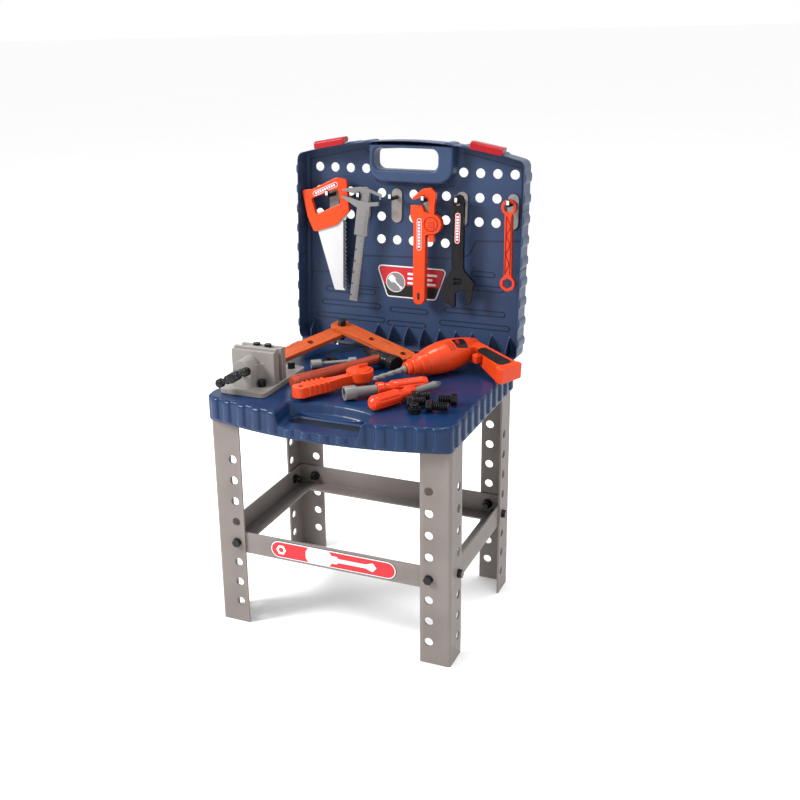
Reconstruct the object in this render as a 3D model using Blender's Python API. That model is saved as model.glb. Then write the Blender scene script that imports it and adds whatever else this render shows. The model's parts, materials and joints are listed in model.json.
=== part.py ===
"""Toy workbench: a fold-up peg-board case on four perforated legs, with its toy tools set out.

Metres, +Z up, +X to the right, +Y away from the child who stands at the bench.
The bench is built about its own centre line, then moved so that the origin is under
the middle of everything, because the drill overhangs the right-hand edge.
"""

import math

import bmesh
import bpy
from mathutils import Matrix, Vector

MM = 0.001
GAP = 0.3 * MM  # left between touching pieces

# ---- driving dimensions -------------------------------------------------------------------
CENTRE = Vector((-0.0145, -0.0203, 0.0))  # moves the bench so that the origin is under its middle

TABLE_TOP = 0.395
SKIRT_BOTTOM = 0.355
BENCH_HALF = 0.205  # half width of the table top
FRONT_CORNER = -0.151  # y of the table's front corners
FRONT_MIDDLE = -0.184  # y of the bulging middle of the front edge
REAR_EDGE = 0.1650
CORNER_RADIUS = 0.012
WALL = 0.003
FLUTE_DEPTH = 0.0025
FLUTE_PITCH = 0.0285
FLUTE_WIDTH = 0.014

RECESS_X = 0.004
RECESS_FLOOR = 0.3725
RECESS_HALF = 0.070
RECESS_BACK = -0.1185
SLOT_HALF = 0.061
SLOT_BACK = -0.1345
SLOT_FRONT = -0.1575
SLOT_WALL = 0.0025

LEG_HALF_X = 0.1995
LEG_FRONT = -0.1455
LEG_REAR = 0.148
LEG_FLANGE = 0.049
LEG_WALL = 0.003
LEG_CORNER_RADIUS = 0.005
LEG_HOLES = 8
LEG_FIRST_HOLE = 0.037
LEG_HOLE_STEP = 0.036
LEG_HOLE_RADIUS = 0.007
LEG_HOLE_INSET = 0.035

RAIL_Z = LEG_FIRST_HOLE + 3 * LEG_HOLE_STEP
RAIL_HEIGHT = 0.036
RAIL_WALL = 0.003

HINGE_Y = 0.1690
HINGE_Z = 0.3962
HINGE_KNUCKLE = 0.0036
HINGE_PIN = 0.0016
HINGE_PLACES = (-0.150, -0.050, 0.050, 0.150)
HINGE_WIDTH = 0.022
HINGE_END = 0.011  # width of the table's knuckles, one on each side of the lid's
HINGE_OFFSET = 0.0170

LID_Y = 0.168
LID_TILT = math.radians(3.3)
LID_HALF = 0.2035
LID_LOW = 0.0015
LID_CORNER = 0.327
LID_MIDDLE = 0.354
LID_DEPTH = 0.0385
LID_PANEL = 0.036  # depth of the peg board's face behind the rim
PEG_PITCH = 0.0292
PEG_HOLE_RADIUS = 0.00775
PEG_ROWS = (0.303, 0.263, 0.223, 0.184)
HANDLE_LEFT = -0.0625
HANDLE_RIGHT = 0.052
HANDLE_LOW = 0.305
HANDLE_HIGH = 0.341

FIN_PLACES = (-0.184, -0.062, -0.034, -0.005, 0.024, 0.053, 0.082, 0.111, 0.146, 0.178)

LATCH_CENTRES = (-0.137, 0.139)
LATCH_HALF = 0.0275
LATCH_DEPTH = 0.0085  # of the latch pin behind the rim
LATCH_RISE = 0.0040  # of the latch pin above the rim

HOOK_COLUMNS = (-5, -3, -1, 1, 3, 6)
PEG_HEIGHT = 0.2575
CALIPER_TILT = 6.7  # degrees that the caliper hangs askew

VISE_X = -0.1465
VISE_PLATE_HALF = 0.040
VISE_PLATE_FRONT = -0.137
VISE_PLATE_REAR = 0.006
VISE_PLATE = 0.008
VISE_TOP = 0.456
VISE_SCREW_X = -0.1500
VISE_SCREW_Z = 0.430
VISE_BOSS_RADIUS = 0.016

PLANK_APEX = Vector((-0.1040, 0.1435, 0.4372))
PLANK_GRADIENT = (-0.1307, 0.1904)  # rise of the planks per metre along X and along Y
PLANK_THICK = 0.0078
PLANK_HALF = 0.015
PLANK_PITCH = 0.070
PLANK_HOLE = 0.0058

HAMMER_END = (-0.0820, -0.0900)
HAMMER_HEAD = (0.0000, 0.0745)
HAMMER_ANGLE = math.radians(63.7)
HAMMER_FACE = 0.0140  # half height of the hammer lying on its side

DRILL_NOSE = Vector((0.0651, 0.0114, 0.4168))
DRILL_TURN = math.radians(59.5)
DRILL_PITCH = math.radians(3.5)
DRILL_ROLL = math.radians(7.0)


# ---- small helpers ------------------------------------------------------------------------
def mm(*pairs):
    """Points given in millimetres, in metres."""
    return [tuple(value * MM for value in pair) for pair in pairs]


def circle(x, y, radius, count):
    """Points around a circle, anticlockwise."""
    turn = 2 * math.pi / count
    return [
        (x + radius * math.cos(turn * (i + 0.5)), y + radius * math.sin(turn * (i + 0.5)))
        for i in range(count)
    ]


def rounded(corners, radius, steps=3):
    """A polygon with every corner rounded, or each by its own radius."""
    radii = radius if isinstance(radius, (list, tuple)) else [radius] * len(corners)
    outline = []
    for i, (corner, r) in enumerate(zip(corners, radii)):
        here = Vector(corner)
        before = (Vector(corners[i - 1]) - here).normalized()
        after = (Vector(corners[(i + 1) % len(corners)]) - here).normalized()
        if r <= 0:
            outline.append(tuple(here))
            continue
        half = before.angle(after) / 2
        middle = here + (before + after).normalized() * (r / math.sin(half))
        first = here + before * (r / math.tan(half)) - middle
        last = here + after * (r / math.tan(half)) - middle
        for k in range(steps + 1):
            spoke = first.lerp(last, k / steps).normalized() * r
            outline.append(tuple(middle + spoke))
    return outline


def rectangle(x0, x1, y0, y1):
    return [(x0, y0), (x1, y0), (x1, y1), (x0, y1)]


def stadium(x0, y0, x1, y1, radius, steps=5):
    """A slot outline around the line between two points."""
    angle = math.atan2(y1 - y0, x1 - x0)
    outline = []
    for cx, cy, start in ((x1, y1, angle - math.pi / 2), (x0, y0, angle + math.pi / 2)):
        for k in range(steps + 1):
            a = start + math.pi * k / steps
            outline.append((cx + radius * math.cos(a), cy + radius * math.sin(a)))
    return outline


def front_arc(half, corner, middle, count):
    """Points along a shallow arc from -half to +half whose ends are at corner."""
    rise = middle - corner
    return [
        (half * t, corner + rise * (1 - t * t))
        for t in (-1 + 2 * k / count for k in range(1, count))
    ]


def bulged_outline(half, flat, corner, middle, radius, count=10):
    """A rectangle with one straight side at flat and the opposite side bulging to middle."""
    ends = [(-half, flat), (half, flat), (half, corner), (-half, corner)]
    if flat > corner:
        ends = [(-half, corner), (half, corner), (half, flat), (-half, flat)]
    arc = front_arc(half, corner, middle, count)
    if flat > corner:
        corners = [ends[0], *arc, ends[1], ends[2], ends[3]]
        radii = [radius, *[0] * len(arc), radius, radius, radius]
    else:
        corners = [ends[0], ends[1], ends[2], *reversed(arc), ends[3]]
        radii = [radius, radius, radius, *[0] * len(arc), radius]
    return rounded(corners, radii)


def inset(outline, amount):
    """An anticlockwise outline moved inwards by amount."""
    moved = []
    for i, point in enumerate(outline):
        here = Vector(point)
        before = (here - Vector(outline[i - 1])).normalized()
        after = (Vector(outline[(i + 1) % len(outline)]) - here).normalized()
        inward = Vector((-before.y - after.y, before.x + after.x)).normalized()
        lean = max(0.5, inward.dot(Vector((-before.y, before.x))))
        moved.append(tuple(here + inward * (amount / lean)))
    return moved


def fluted(outline, pitch, width, depth, plain):
    """The outline with shallow flutes, except where plain(x, y) is true."""
    flanks = 0.15 * width
    points = []
    for i, start in enumerate(outline):
        points.append(start)
        a = Vector(start)
        along = Vector(outline[(i + 1) % len(outline)]) - a
        length = along.length
        along.normalize()
        inward = Vector((-along.y, along.x))
        count = int(length / pitch + 0.35)
        for k in range(count):
            middle = a + along * (length * (k + 0.5) / count)
            if plain(middle.x, middle.y):
                continue
            for offset, sunk in ((-0.5, 0), (-0.5, 1), (0.5, 1), (0.5, 0)):
                shift = offset * (width - (2 * flanks if sunk else 0))
                points.append(tuple(middle + along * shift + inward * depth * sunk))
    return points


# ---- solids -------------------------------------------------------------------------------
def prism(outline, low, high, holes=()):
    """A flat plate with that outline, from z = low to z = high, with holes right through."""
    flat = bmesh.new()
    edges = []
    for loop in (outline, *holes):
        verts = [flat.verts.new((x, y, 0)) for x, y in loop]
        edges += [flat.edges.new(pair) for pair in zip(verts, verts[1:] + verts[:1])]
    flat.verts.index_update()
    bmesh.ops.triangle_fill(flat, use_beauty=True, edges=edges, normal=(0, 0, 1))
    bm = bmesh.new()
    below = [bm.verts.new((v.co.x, v.co.y, low)) for v in flat.verts]
    above = [bm.verts.new((v.co.x, v.co.y, high)) for v in flat.verts]
    for face in flat.faces:
        corners = [v.index for v in face.verts]
        bm.faces.new([above[i] for i in corners])
        bm.faces.new([below[i] for i in reversed(corners)])
    for a, b in (tuple(v.index for v in edge.verts) for edge in edges):
        bm.faces.new((below[a], below[b], above[b], above[a]))
    flat.free()
    bmesh.ops.recalc_face_normals(bm, faces=bm.faces)
    return bm


def loft(rings):
    """A closed skin over rings of equally many points, capped at both ends."""
    bm = bmesh.new()
    rows = [[bm.verts.new(point) for point in ring] for ring in rings]
    for lower, upper in zip(rows, rows[1:]):
        for i in range(len(lower)):
            j = (i + 1) % len(lower)
            bm.faces.new((lower[i], lower[j], upper[j], upper[i]))
    bm.faces.new(reversed(rows[0]))
    bm.faces.new(rows[-1])
    bmesh.ops.recalc_face_normals(bm, faces=bm.faces)
    return bm


def lathe(profile, count=12):
    """A round solid about Z from (radius, z) pairs, capped flat at both ends."""
    return loft([[(x, y, z) for x, y in circle(0, 0, r, count)] for r, z in profile])


def hexagon(across, count=12):
    """A regular hexagon with that width across its flats, as count points."""
    per_side = count // 6
    corners = [
        Vector((math.cos(math.pi / 3 * k), math.sin(math.pi / 3 * k))) * across / math.sqrt(3)
        for k in range(7)
    ]
    return [
        tuple(corners[k].lerp(corners[k + 1], step / per_side))
        for k in range(6)
        for step in range(per_side)
    ]


def stacked(sections):
    """A fastener along Z from (z, shape, size): a hexagon across flats, or a round radius."""
    rings = []
    for z, shape, size in sections:
        flat = hexagon(size) if shape == "hex" else circle(0, 0, size, 12)
        if shape == "round":
            flat = flat[-1:] + flat[:-1]
        rings.append([(x, y, z) for x, y in flat])
    return loft(rings)


def slab(x0, x1, y0, y1, z0, z1):
    """A rectangular block."""
    return prism(rectangle(x0, x1, y0, y1), z0, z1)


def moved(bm, matrix):
    """The same mesh moved by a matrix."""
    bm.transform(matrix)
    return bm


def upright(bm):
    """Turns a solid built along Z so that it runs along depth (+Y) with its outline in XZ."""
    return moved(bm, Matrix(((1, 0, 0, 0), (0, 0, 1, 0), (0, 1, 0, 0), (0, 0, 0, 1))))


def flipped_upright(bm):
    """upright() is a reflection, so the faces are turned the right way out again."""
    upright(bm)
    bmesh.ops.reverse_faces(bm, faces=bm.faces)
    return bm


def plate(outline, near, far, holes=()):
    """A plate whose outline is given as (x, height), between two depths along +Y."""
    return flipped_upright(prism(outline, near, far, holes))


def sidewise(outline, x0, x1):
    """A solid whose outline is given as (depth, height), between two places along X."""
    bm = prism(outline, x0, x1)
    return moved(bm, Matrix(((0, 0, 1, 0), (1, 0, 0, 0), (0, 1, 0, 0), (0, 0, 0, 1))))


# ---- objects ------------------------------------------------------------------------------
COLOURS = {
    "bench_blue": ((0.035, 0.110, 0.270), 0.38, 0.0),
    "lid_navy": ((0.035, 0.080, 0.170), 0.42, 0.0),
    "leg_grey": ((0.360, 0.325, 0.310), 0.40, 0.0),
    "bolt_black": ((0.015, 0.015, 0.016), 0.42, 0.0),
    "hook_grey": ((0.420, 0.400, 0.380), 0.35, 0.0),
    "latch_red": ((0.720, 0.015, 0.020), 0.32, 0.0),
    "tool_orange": ((0.880, 0.130, 0.035), 0.35, 0.0),
    "tool_red": ((0.800, 0.060, 0.035), 0.35, 0.0),
    "saw_white": ((0.800, 0.800, 0.810), 0.35, 0.0),
    "tool_silver": ((0.480, 0.470, 0.460), 0.38, 0.0),
    "tool_black": ((0.030, 0.030, 0.032), 0.38, 0.0),
    "wood_orange": ((0.560, 0.130, 0.045), 0.50, 0.0),
    "vise_grey": ((0.430, 0.400, 0.375), 0.42, 0.0),
}


def make_materials():
    found = {}
    for name, (colour, roughness, metallic) in COLOURS.items():
        made = bpy.data.materials.new(name)
        made.use_nodes = True
        shader = made.node_tree.nodes["Principled BSDF"]
        shader.inputs["Base Color"].default_value = (*colour, 1.0)
        shader.inputs["Roughness"].default_value = roughness
        shader.inputs["Metallic"].default_value = metallic
        found[name] = made
    return found


def as_mesh(bm, name):
    mesh = bpy.data.meshes.new(name)
    bm.to_mesh(mesh)
    bm.free()
    mesh.shade_smooth()
    mesh.set_sharp_from_angle(angle=math.radians(35))
    return mesh


def add(name, bm, colour, parent, place=None):
    """One named piece under a parent frame."""
    obj = bpy.data.objects.new(name, as_mesh(bm, name))
    bpy.context.scene.collection.objects.link(obj)
    obj.data.materials.append(MATERIALS[colour])
    obj.parent = parent
    obj.matrix_basis = place or Matrix.Identity(4)
    return obj


def combine(obj, bm, operation):
    """Joins or cuts a shape, kept as a hidden helper object, with a Boolean."""
    helper = bpy.data.objects.new(f"{obj.name}_{operation.lower()}_{len(obj.modifiers)}",
                                  as_mesh(bm, "helper"))
    bpy.context.scene.collection.objects.link(helper)
    helper.parent = obj.parent
    helper.matrix_basis = obj.matrix_basis.copy()
    helper.hide_render = True
    helper.display_type = "WIRE"
    modifier = obj.modifiers.new(operation.title(), "BOOLEAN")
    modifier.operation = operation
    modifier.solver = "EXACT"
    modifier.object = helper


def cut(obj, *shapes):
    for shape in shapes:
        combine(obj, shape, "DIFFERENCE")


def join(obj, *shapes):
    for shape in shapes:
        combine(obj, shape, "UNION")


def gathered(shapes):
    """Several separate solids in one mesh, to cut or join them in one go."""
    whole = bmesh.new()
    for shape in shapes:
        mesh = bpy.data.meshes.new("gathered")
        shape.to_mesh(mesh)
        shape.free()
        whole.from_mesh(mesh)
        bpy.data.meshes.remove(mesh)
    return whole


def frame(name, matrix, parent=None):
    """An empty that a group of pieces is placed in."""
    empty = bpy.data.objects.new(name, None)
    bpy.context.scene.collection.objects.link(empty)
    empty.parent = parent
    empty.matrix_basis = matrix
    return empty


def lying(x, y, z, angle, roll=0.0):
    """Places a solid built along Z lying on the table, pointing at angle from +X."""
    turn = Matrix.Rotation(angle, 4, "Z")
    down = Matrix.Rotation(math.pi / 2, 4, "Y")
    return Matrix.Translation((x, y, z)) @ turn @ down @ Matrix.Rotation(roll, 4, "Z")


# ---- table top ----------------------------------------------------------------------------
def bench_ring(amount, z, flutes=0.0):
    outline = bulged_outline(
        BENCH_HALF - 0.0025, REAR_EDGE, FRONT_CORNER, FRONT_MIDDLE, CORNER_RADIUS, 14
    )
    if amount:
        outline = inset(outline, amount)
    if flutes is not None:
        outline = fluted(
            outline, FLUTE_PITCH, FLUTE_WIDTH, -flutes, lambda x, y: y > REAR_EDGE - 0.005
        )
    return [(x, y, z) for x, y in outline]


def recess_shape(grow):
    """The hollow in front of the carrying slot: steep at the back and sides, open in front."""
    rings = []
    for z, half, ends, middle in (
        (RECESS_FLOOR - grow, RECESS_HALF - 0.004, RECESS_BACK - 0.019, RECESS_BACK - 0.008),
        (TABLE_TOP + 0.001, RECESS_HALF, RECESS_BACK - 0.015, RECESS_BACK),
    ):
        half += grow
        arc = front_arc(half, ends + grow, middle + grow, 8)
        back = [(half, ends + grow), *reversed(arc), (-half, ends + grow)]
        ring = [(-half, -0.25), (half, -0.25), *back]
        rings.append([(RECESS_X + x, y, z) for x, y in ring])
    return loft(rings)


def hinge_barrel(middle, width):
    """A knuckle about the hinge line, built in the bench frame."""
    bm = lathe([(HINGE_KNUCKLE, -width / 2), (HINGE_KNUCKLE, width / 2)], 8)
    turn = Matrix.Rotation(math.pi / 2, 4, "Y")
    return moved(bm, Matrix.Translation((middle, HINGE_Y, HINGE_Z)) @ turn)


def hinge_bore():
    bm = lathe([(HINGE_PIN + GAP, -0.2), (HINGE_PIN + GAP, 0.2)], 8)
    turn = Matrix.Rotation(math.pi / 2, 4, "Y")
    return moved(bm, Matrix.Translation((0, HINGE_Y, HINGE_Z)) @ turn)


def build_bench_top(bench):
    lip = SKIRT_BOTTOM + 0.004
    shoulder = TABLE_TOP - 0.006
    rings = [
        bench_ring(0.0, SKIRT_BOTTOM),
        bench_ring(0.0, lip),
        bench_ring(0.0, lip + 0.001, FLUTE_DEPTH),
        bench_ring(0.0, shoulder, FLUTE_DEPTH),
        bench_ring(0.0035, TABLE_TOP),
    ]
    top = add("bench_top", loft(rings), "bench_blue", bench)
    inner = bulged_outline(
        LEG_HALF_X + 0.0006, 0.1605, FRONT_CORNER + 0.0048, FRONT_MIDDLE + 0.0048, 0.0056, 14
    )
    cavity = prism(inner, SKIRT_BOTTOM - 0.01, TABLE_TOP - WALL)
    hollow = add("bench_hollow", cavity, "bench_blue", bench)
    hollow.hide_render = True
    hollow.display_type = "WIRE"
    cut(hollow, recess_shape(WALL))
    modifier = top.modifiers.new("Hollow", "BOOLEAN")
    modifier.operation = "DIFFERENCE"
    modifier.solver = "EXACT"
    modifier.object = hollow
    cut(top, recess_shape(0.0))
    slot = rectangle(RECESS_X - SLOT_HALF, RECESS_X + SLOT_HALF, SLOT_FRONT, SLOT_BACK)
    outside = inset(rounded(slot, 0.011), -SLOT_WALL)
    join(top, prism(outside, SKIRT_BOTTOM + 0.002, RECESS_FLOOR - 0.001))
    cut(top, prism(rounded(slot, 0.011), SKIRT_BOTTOM, TABLE_TOP))
    join(top, gathered([leg_socket(sx, sy) for sx in (-1, 1) for sy in (-1, 1)]))
    ends = [x + side * HINGE_OFFSET for x in HINGE_PLACES for side in (-1, 1)]
    half = HINGE_END / 2 - 0.0003
    join(top, gathered([slab(x - half, x + half, 0.1620, 0.1675, 0.3890, 0.3940) for x in ends]))
    join(top, gathered([hinge_barrel(x, HINGE_END) for x in ends]))
    cut(top, hinge_bore())


def corner_place(sx, sy):
    """The outer corner of a leg."""
    return sx * LEG_HALF_X, LEG_FRONT if sy < 0 else LEG_REAR


def angle_outline(sx, sy, offset, length, wall):
    """An L along the inside of a corner, its outer faces offset inwards from the corner."""
    cx, cy = corner_place(sx, sy)
    points = [(0, 0), (length, 0), (length, wall), (wall, wall), (wall, length), (0, length)]
    if offset == 0:
        points = rounded(points, [LEG_CORNER_RADIUS, 0, 0, 0, 0, 0])
    outline = [(cx - sx * (offset + u), cy - sy * (offset + v)) for u, v in points]
    return outline if sx * sy > 0 else list(reversed(outline))


def leg_socket(sx, sy):
    """The rib that holds a leg's top from inside."""
    return prism(angle_outline(sx, sy, LEG_WALL + GAP, 0.030, 0.002), 0.366, TABLE_TOP - WALL + 0.001)


def hole_heights():
    return [LEG_FIRST_HOLE + LEG_HOLE_STEP * k for k in range(LEG_HOLES)]


def build_leg(name, sx, sy, bench):
    outline = angle_outline(sx, sy, 0.0, LEG_FLANGE, LEG_WALL)
    leg = add(name, prism(outline, 0.0, TABLE_TOP - WALL - GAP), "leg_grey", bench)
    cx, cy = corner_place(sx, sy)
    drills = []
    for z in hole_heights():
        drill = lathe([(LEG_HOLE_RADIUS, -0.01), (LEG_HOLE_RADIUS, 0.01)], 8)
        place = Matrix.Translation((cx - sx * LEG_HOLE_INSET, cy, z))
        drills.append(moved(drill, place @ Matrix.Rotation(math.pi / 2, 4, "X")))
        drill = lathe([(LEG_HOLE_RADIUS, -0.01), (LEG_HOLE_RADIUS, 0.01)], 8)
        place = Matrix.Translation((cx, cy - sy * LEG_HOLE_INSET, z))
        drills.append(moved(drill, place @ Matrix.Rotation(math.pi / 2, 4, "Y")))
    cut(leg, gathered(drills))


def build_legs(bench):
    for sy, row in ((-1, "front"), (1, "rear")):
        for sx, side in ((-1, "left"), (1, "right")):
            build_leg(f"leg_{row}_{side}", sx, sy, bench)


# ---- rails and their bolts ----------------------------------------------------------------
def rail_section(length, shelf_length):
    """An angle rail along X: a web standing at y = 0 and a shelf running towards +y."""
    low = -RAIL_HEIGHT / 2
    web = plate(rectangle(-length / 2, length / 2, low, -low), 0, RAIL_WALL)
    shelf = slab(-shelf_length / 2, shelf_length / 2, 0.001, RAIL_HEIGHT - 0.004, low, low + RAIL_WALL)
    return web, shelf


def bolt_and_nut():
    """A hex bolt along +Z from under its head at 0, with its flanged nut screwed on."""
    grip = LEG_WALL + RAIL_WALL + GAP * 3
    return stacked([
        (-0.0062, "hex", 0.0125), (-0.0002, "hex", 0.0135), (0.0, "round", 0.0050),
        (grip - 0.0002, "round", 0.0050), (grip, "round", 0.0085), (grip + 0.0020, "round", 0.0085),
        (grip + 0.0022, "hex", 0.0130), (grip + 0.0075, "hex", 0.0130),
        (grip + 0.0077, "round", 0.0050), (grip + 0.0130, "round", 0.0046),
    ])


def build_rails(bench):
    y_middle = (LEG_FRONT + LEG_REAR) / 2
    long_rail = 2 * (LEG_HALF_X - LEG_WALL - 0.001)
    inner_front = LEG_FRONT + LEG_WALL + GAP
    inner_rear = LEG_REAR - LEG_WALL - GAP
    inner_side = LEG_HALF_X - LEG_WALL - GAP
    long_shelf = 2 * (inner_side - RAIL_WALL - 2 * GAP)
    side_rail = inner_rear - inner_front - 2 * (RAIL_WALL + GAP)
    side_shelf = side_rail - 2 * (RAIL_HEIGHT - 0.006)
    places = {
        "rail_front": (0, inner_front, 0, long_rail, long_shelf),
        "rail_rear": (0, inner_rear, 180, long_rail, long_shelf),
        "rail_left": (-inner_side, y_middle, -90, side_rail, side_shelf),
        "rail_right": (inner_side, y_middle, 90, side_rail, side_shelf),
    }
    for name, (x, y, turn, length, shelf_length) in places.items():
        web, shelf = rail_section(length, shelf_length)
        place = Matrix.Translation((x, y, RAIL_Z)) @ Matrix.Rotation(math.radians(turn), 4, "Z")
        rail = add(name, web, "leg_grey", bench, place)
        join(rail, shelf)
        ends = LEG_HALF_X - LEG_HOLE_INSET
        if turn in (90, -90):
            ends = (LEG_REAR - LEG_FRONT) / 2 - LEG_HOLE_INSET
        drills = [
            moved(lathe([(LEG_HOLE_RADIUS, -0.01), (LEG_HOLE_RADIUS, 0.01)], 8),
                  Matrix.Translation((s * ends, 0, 0)) @ Matrix.Rotation(math.pi / 2, 4, "X"))
            for s in (-1, 1)
        ]
        cut(rail, gathered(drills))


def build_rail_bolts(bench):
    out = GAP
    for sy, row in ((-1, "front"), (1, "rear")):
        for sx, side in ((-1, "left"), (1, "right")):
            cx, cy = corner_place(sx, sy)
            along = Matrix.Rotation(-sy * math.pi / 2, 4, "X") @ Matrix.Rotation(math.pi, 4, "X")
            place = Matrix.Translation((cx - sx * LEG_HOLE_INSET, cy + sy * out, RAIL_Z)) @ along
            add(f"rail_bolt_{row}_{side}", bolt_and_nut(), "bolt_black", bench, place)
            along = Matrix.Rotation(-sx * math.pi / 2, 4, "Y")
            place = Matrix.Translation((cx + sx * out, cy - sy * LEG_HOLE_INSET, RAIL_Z)) @ along
            add(f"rail_bolt_side_{row}_{side}", bolt_and_nut(), "bolt_black", bench, place)


# ---- lid ----------------------------------------------------------------------------------
def lid_outline(amount, flutes):
    outline = bulged_outline(LID_HALF - 0.0025, LID_LOW, LID_CORNER, LID_MIDDLE, CORNER_RADIUS, 14)
    outline = inset(outline, amount) if amount else outline
    if flutes:
        return fluted(outline, 0.033, 0.016, -flutes, lambda x, h: h < 0.01 or abs(x) < 0.06)
    return outline


def peg_holes():
    """Places of the peg board's holes, as (x, height)."""
    places = []
    for row, height in enumerate(PEG_ROWS):
        for column in range(-6, 7):
            if row == 0 and abs(column) < 3:
                continue
            if row == 3 and abs(column) > 2:
                continue
            places.append((column * PEG_PITCH, height))
    return places


def fin(x):
    """A small upright rib that keeps a tool in its place when the case is shut."""
    outline = mm((LID_PANEL / MM + 1, 2.5), (LID_PANEL / MM - 24, 2.5), (LID_PANEL / MM - 23, 16),
                 (LID_PANEL / MM - 12, 27), (LID_PANEL / MM + 1, 34))
    return sidewise(outline, x - 0.001, x + 0.001)


def build_lid(lid):
    body = add("lid_panel", plate(lid_outline(0, 0.0025), 0.0, LID_DEPTH), "lid_navy", lid)
    cut(body, plate(lid_outline(0.0015, None), -0.01, LID_PANEL))
    boss = rounded(rectangle(-0.0715, 0.0790, 0.284, 0.3475), [0.022, 0.022, 0, 0], 4)
    join(body, plate(boss, 0.008, LID_PANEL + 0.001))
    join(body, gathered([fin(x) for x in FIN_PLACES]))
    opening = rounded(rectangle(HANDLE_LEFT, HANDLE_RIGHT, HANDLE_LOW, HANDLE_HIGH), 0.012)
    cuts = [plate(circle(x, h, PEG_HOLE_RADIUS, 8), 0.030, 0.045) for x, h in peg_holes()]
    cut(body, gathered([*cuts, plate(opening, -0.01, 0.05)]))
    reach = HINGE_PLACES[-1] + HINGE_OFFSET + HINGE_END / 2 + 0.0006
    cut(body, slab(-reach, reach, -0.002, 0.0056, -0.004, 0.0058))
    half = HINGE_WIDTH / 2 - 0.0004
    join(body, gathered([slab(x - half, x + half, 0.0010, 0.0075, 0.0012, 0.0042) for x in HINGE_PLACES]))
    into_lid = lid.matrix_basis.inverted()
    join(body, gathered([moved(hinge_barrel(x, HINGE_WIDTH), into_lid) for x in HINGE_PLACES]))
    cut(body, moved(hinge_bore(), into_lid))
    ears = []
    bores = []
    for centre in LATCH_CENTRES:
        place = latch_frame(centre)
        for side in (-1, 1):
            ear = sidewise(mm((-3.4, -6.0), (3.4, -6.0), (3.4, 0), (0, 3.4), (-3.4, 0)), -0.002, 0.002)
            ears.append(moved(ear, place @ Matrix.Translation((side * 0.0145, 0, 0))))
        bore = lathe([(0.0019, -0.019), (0.0019, 0.019)], 8)
        bores.append(moved(bore, place @ Matrix.Rotation(math.pi / 2, 4, "Y")))
    join(body, gathered(ears))
    cut(body, gathered(bores))
    return body


def latch_frame(centre):
    """A latch's pin, along the slope of the lid's arched top edge."""
    share = centre / LID_HALF
    rise = LID_MIDDLE - LID_CORNER
    height = LID_CORNER + rise * (1 - share * share) + LATCH_RISE
    slope = math.atan(2 * rise * centre / LID_HALF**2)
    return Matrix.Translation((centre, LATCH_DEPTH, height)) @ Matrix.Rotation(slope, 4, "Y")


def build_latch(name, centre, lid):
    """A hooked cover plate that swings about its pin and clips over the table's front edge."""
    outline = mm((-19.5, -5), (-17.3, -5.3), (-16.5, 2.6), (-3, 4.0), (3, 4.0), (5, 2.5), (5, 5.0),
                 (2, 7.4), (-13, 7.4), (-18.5, 4.5))
    latch = add(name, sidewise(outline, -LATCH_HALF, LATCH_HALF), "latch_red", lid, latch_frame(centre))
    pin = lathe([(0.0016, -0.018), (0.0016, 0.018)], 8)
    web = slab(-0.011, 0.011, -0.0022, 0.0022, -0.0005, 0.0050)
    ends = gathered([slab(s * 0.0175 - 0.0008, s * 0.0175 + 0.0008, -0.0018, 0.0018, -0.001, 0.0050)
                     for s in (-1, 1)])
    join(latch, moved(pin, Matrix.Rotation(math.pi / 2, 4, "Y")), web, ends)


def build_hook(name, column, lid):
    """A clip-in hook: backing plate, two plugs through the board, and a turned-up peg."""
    x = column * PEG_PITCH
    back = LID_PANEL - GAP
    face = back - 0.0025
    place = Matrix.Translation((x, 0, 0))
    hook = add(name, plate(stadium(0, 0.2235, 0, 0.2625, 0.0095), face, back), "hook_grey", lid, place)
    peg = [(face + 0.001, PEG_HEIGHT - 0.003), (face + 0.001, PEG_HEIGHT + 0.003),
           (0.0045, PEG_HEIGHT + 0.003), (0.0038, PEG_HEIGHT + 0.009), (0.0006, PEG_HEIGHT + 0.009),
           (0.0006, PEG_HEIGHT - 0.003)]
    join(hook, sidewise([(d, h) for d, h in peg], -0.003, 0.003))
    plugs = [plate(circle(0, h, 0.0070, 8), face + 0.001, LID_DEPTH + 0.001)
             for h in (PEG_ROWS[1], PEG_ROWS[2])]
    join(hook, gathered(plugs))


def build_lid_parts(bench):
    turn = Matrix.Rotation(-LID_TILT, 4, "X")
    lid = frame("lid_frame", Matrix.Translation((0, LID_Y, TABLE_TOP)) @ turn, bench)
    build_lid(lid)
    for name, centre in zip(("latch_left", "latch_right"), LATCH_CENTRES):
        build_latch(name, centre, lid)
    for number, column in enumerate(HOOK_COLUMNS, 1):
        build_hook(f"hook_{number}", column, lid)
    rod = lathe([(HINGE_PIN, -0.176), (HINGE_PIN, 0.176)], 8)
    place = Matrix.Translation((0, HINGE_Y, HINGE_Z)) @ Matrix.Rotation(math.pi / 2, 4, "Y")
    add("hinge_rod", rod, "tool_silver", bench, place)
    return lid


# ---- hanging tools: each is built around the peg that it hangs on -------------------------
def from_peg(column, *pairs):
    """Points given in millimetres on the board, counted from a peg."""
    x0 = column * PEG_PITCH / MM
    h0 = PEG_HEIGHT / MM
    return mm(*[(x - x0, h - h0) for x, h in pairs])


def peg_frame(column):
    return Matrix.Translation((column * PEG_PITCH, 0, PEG_HEIGHT))


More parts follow.
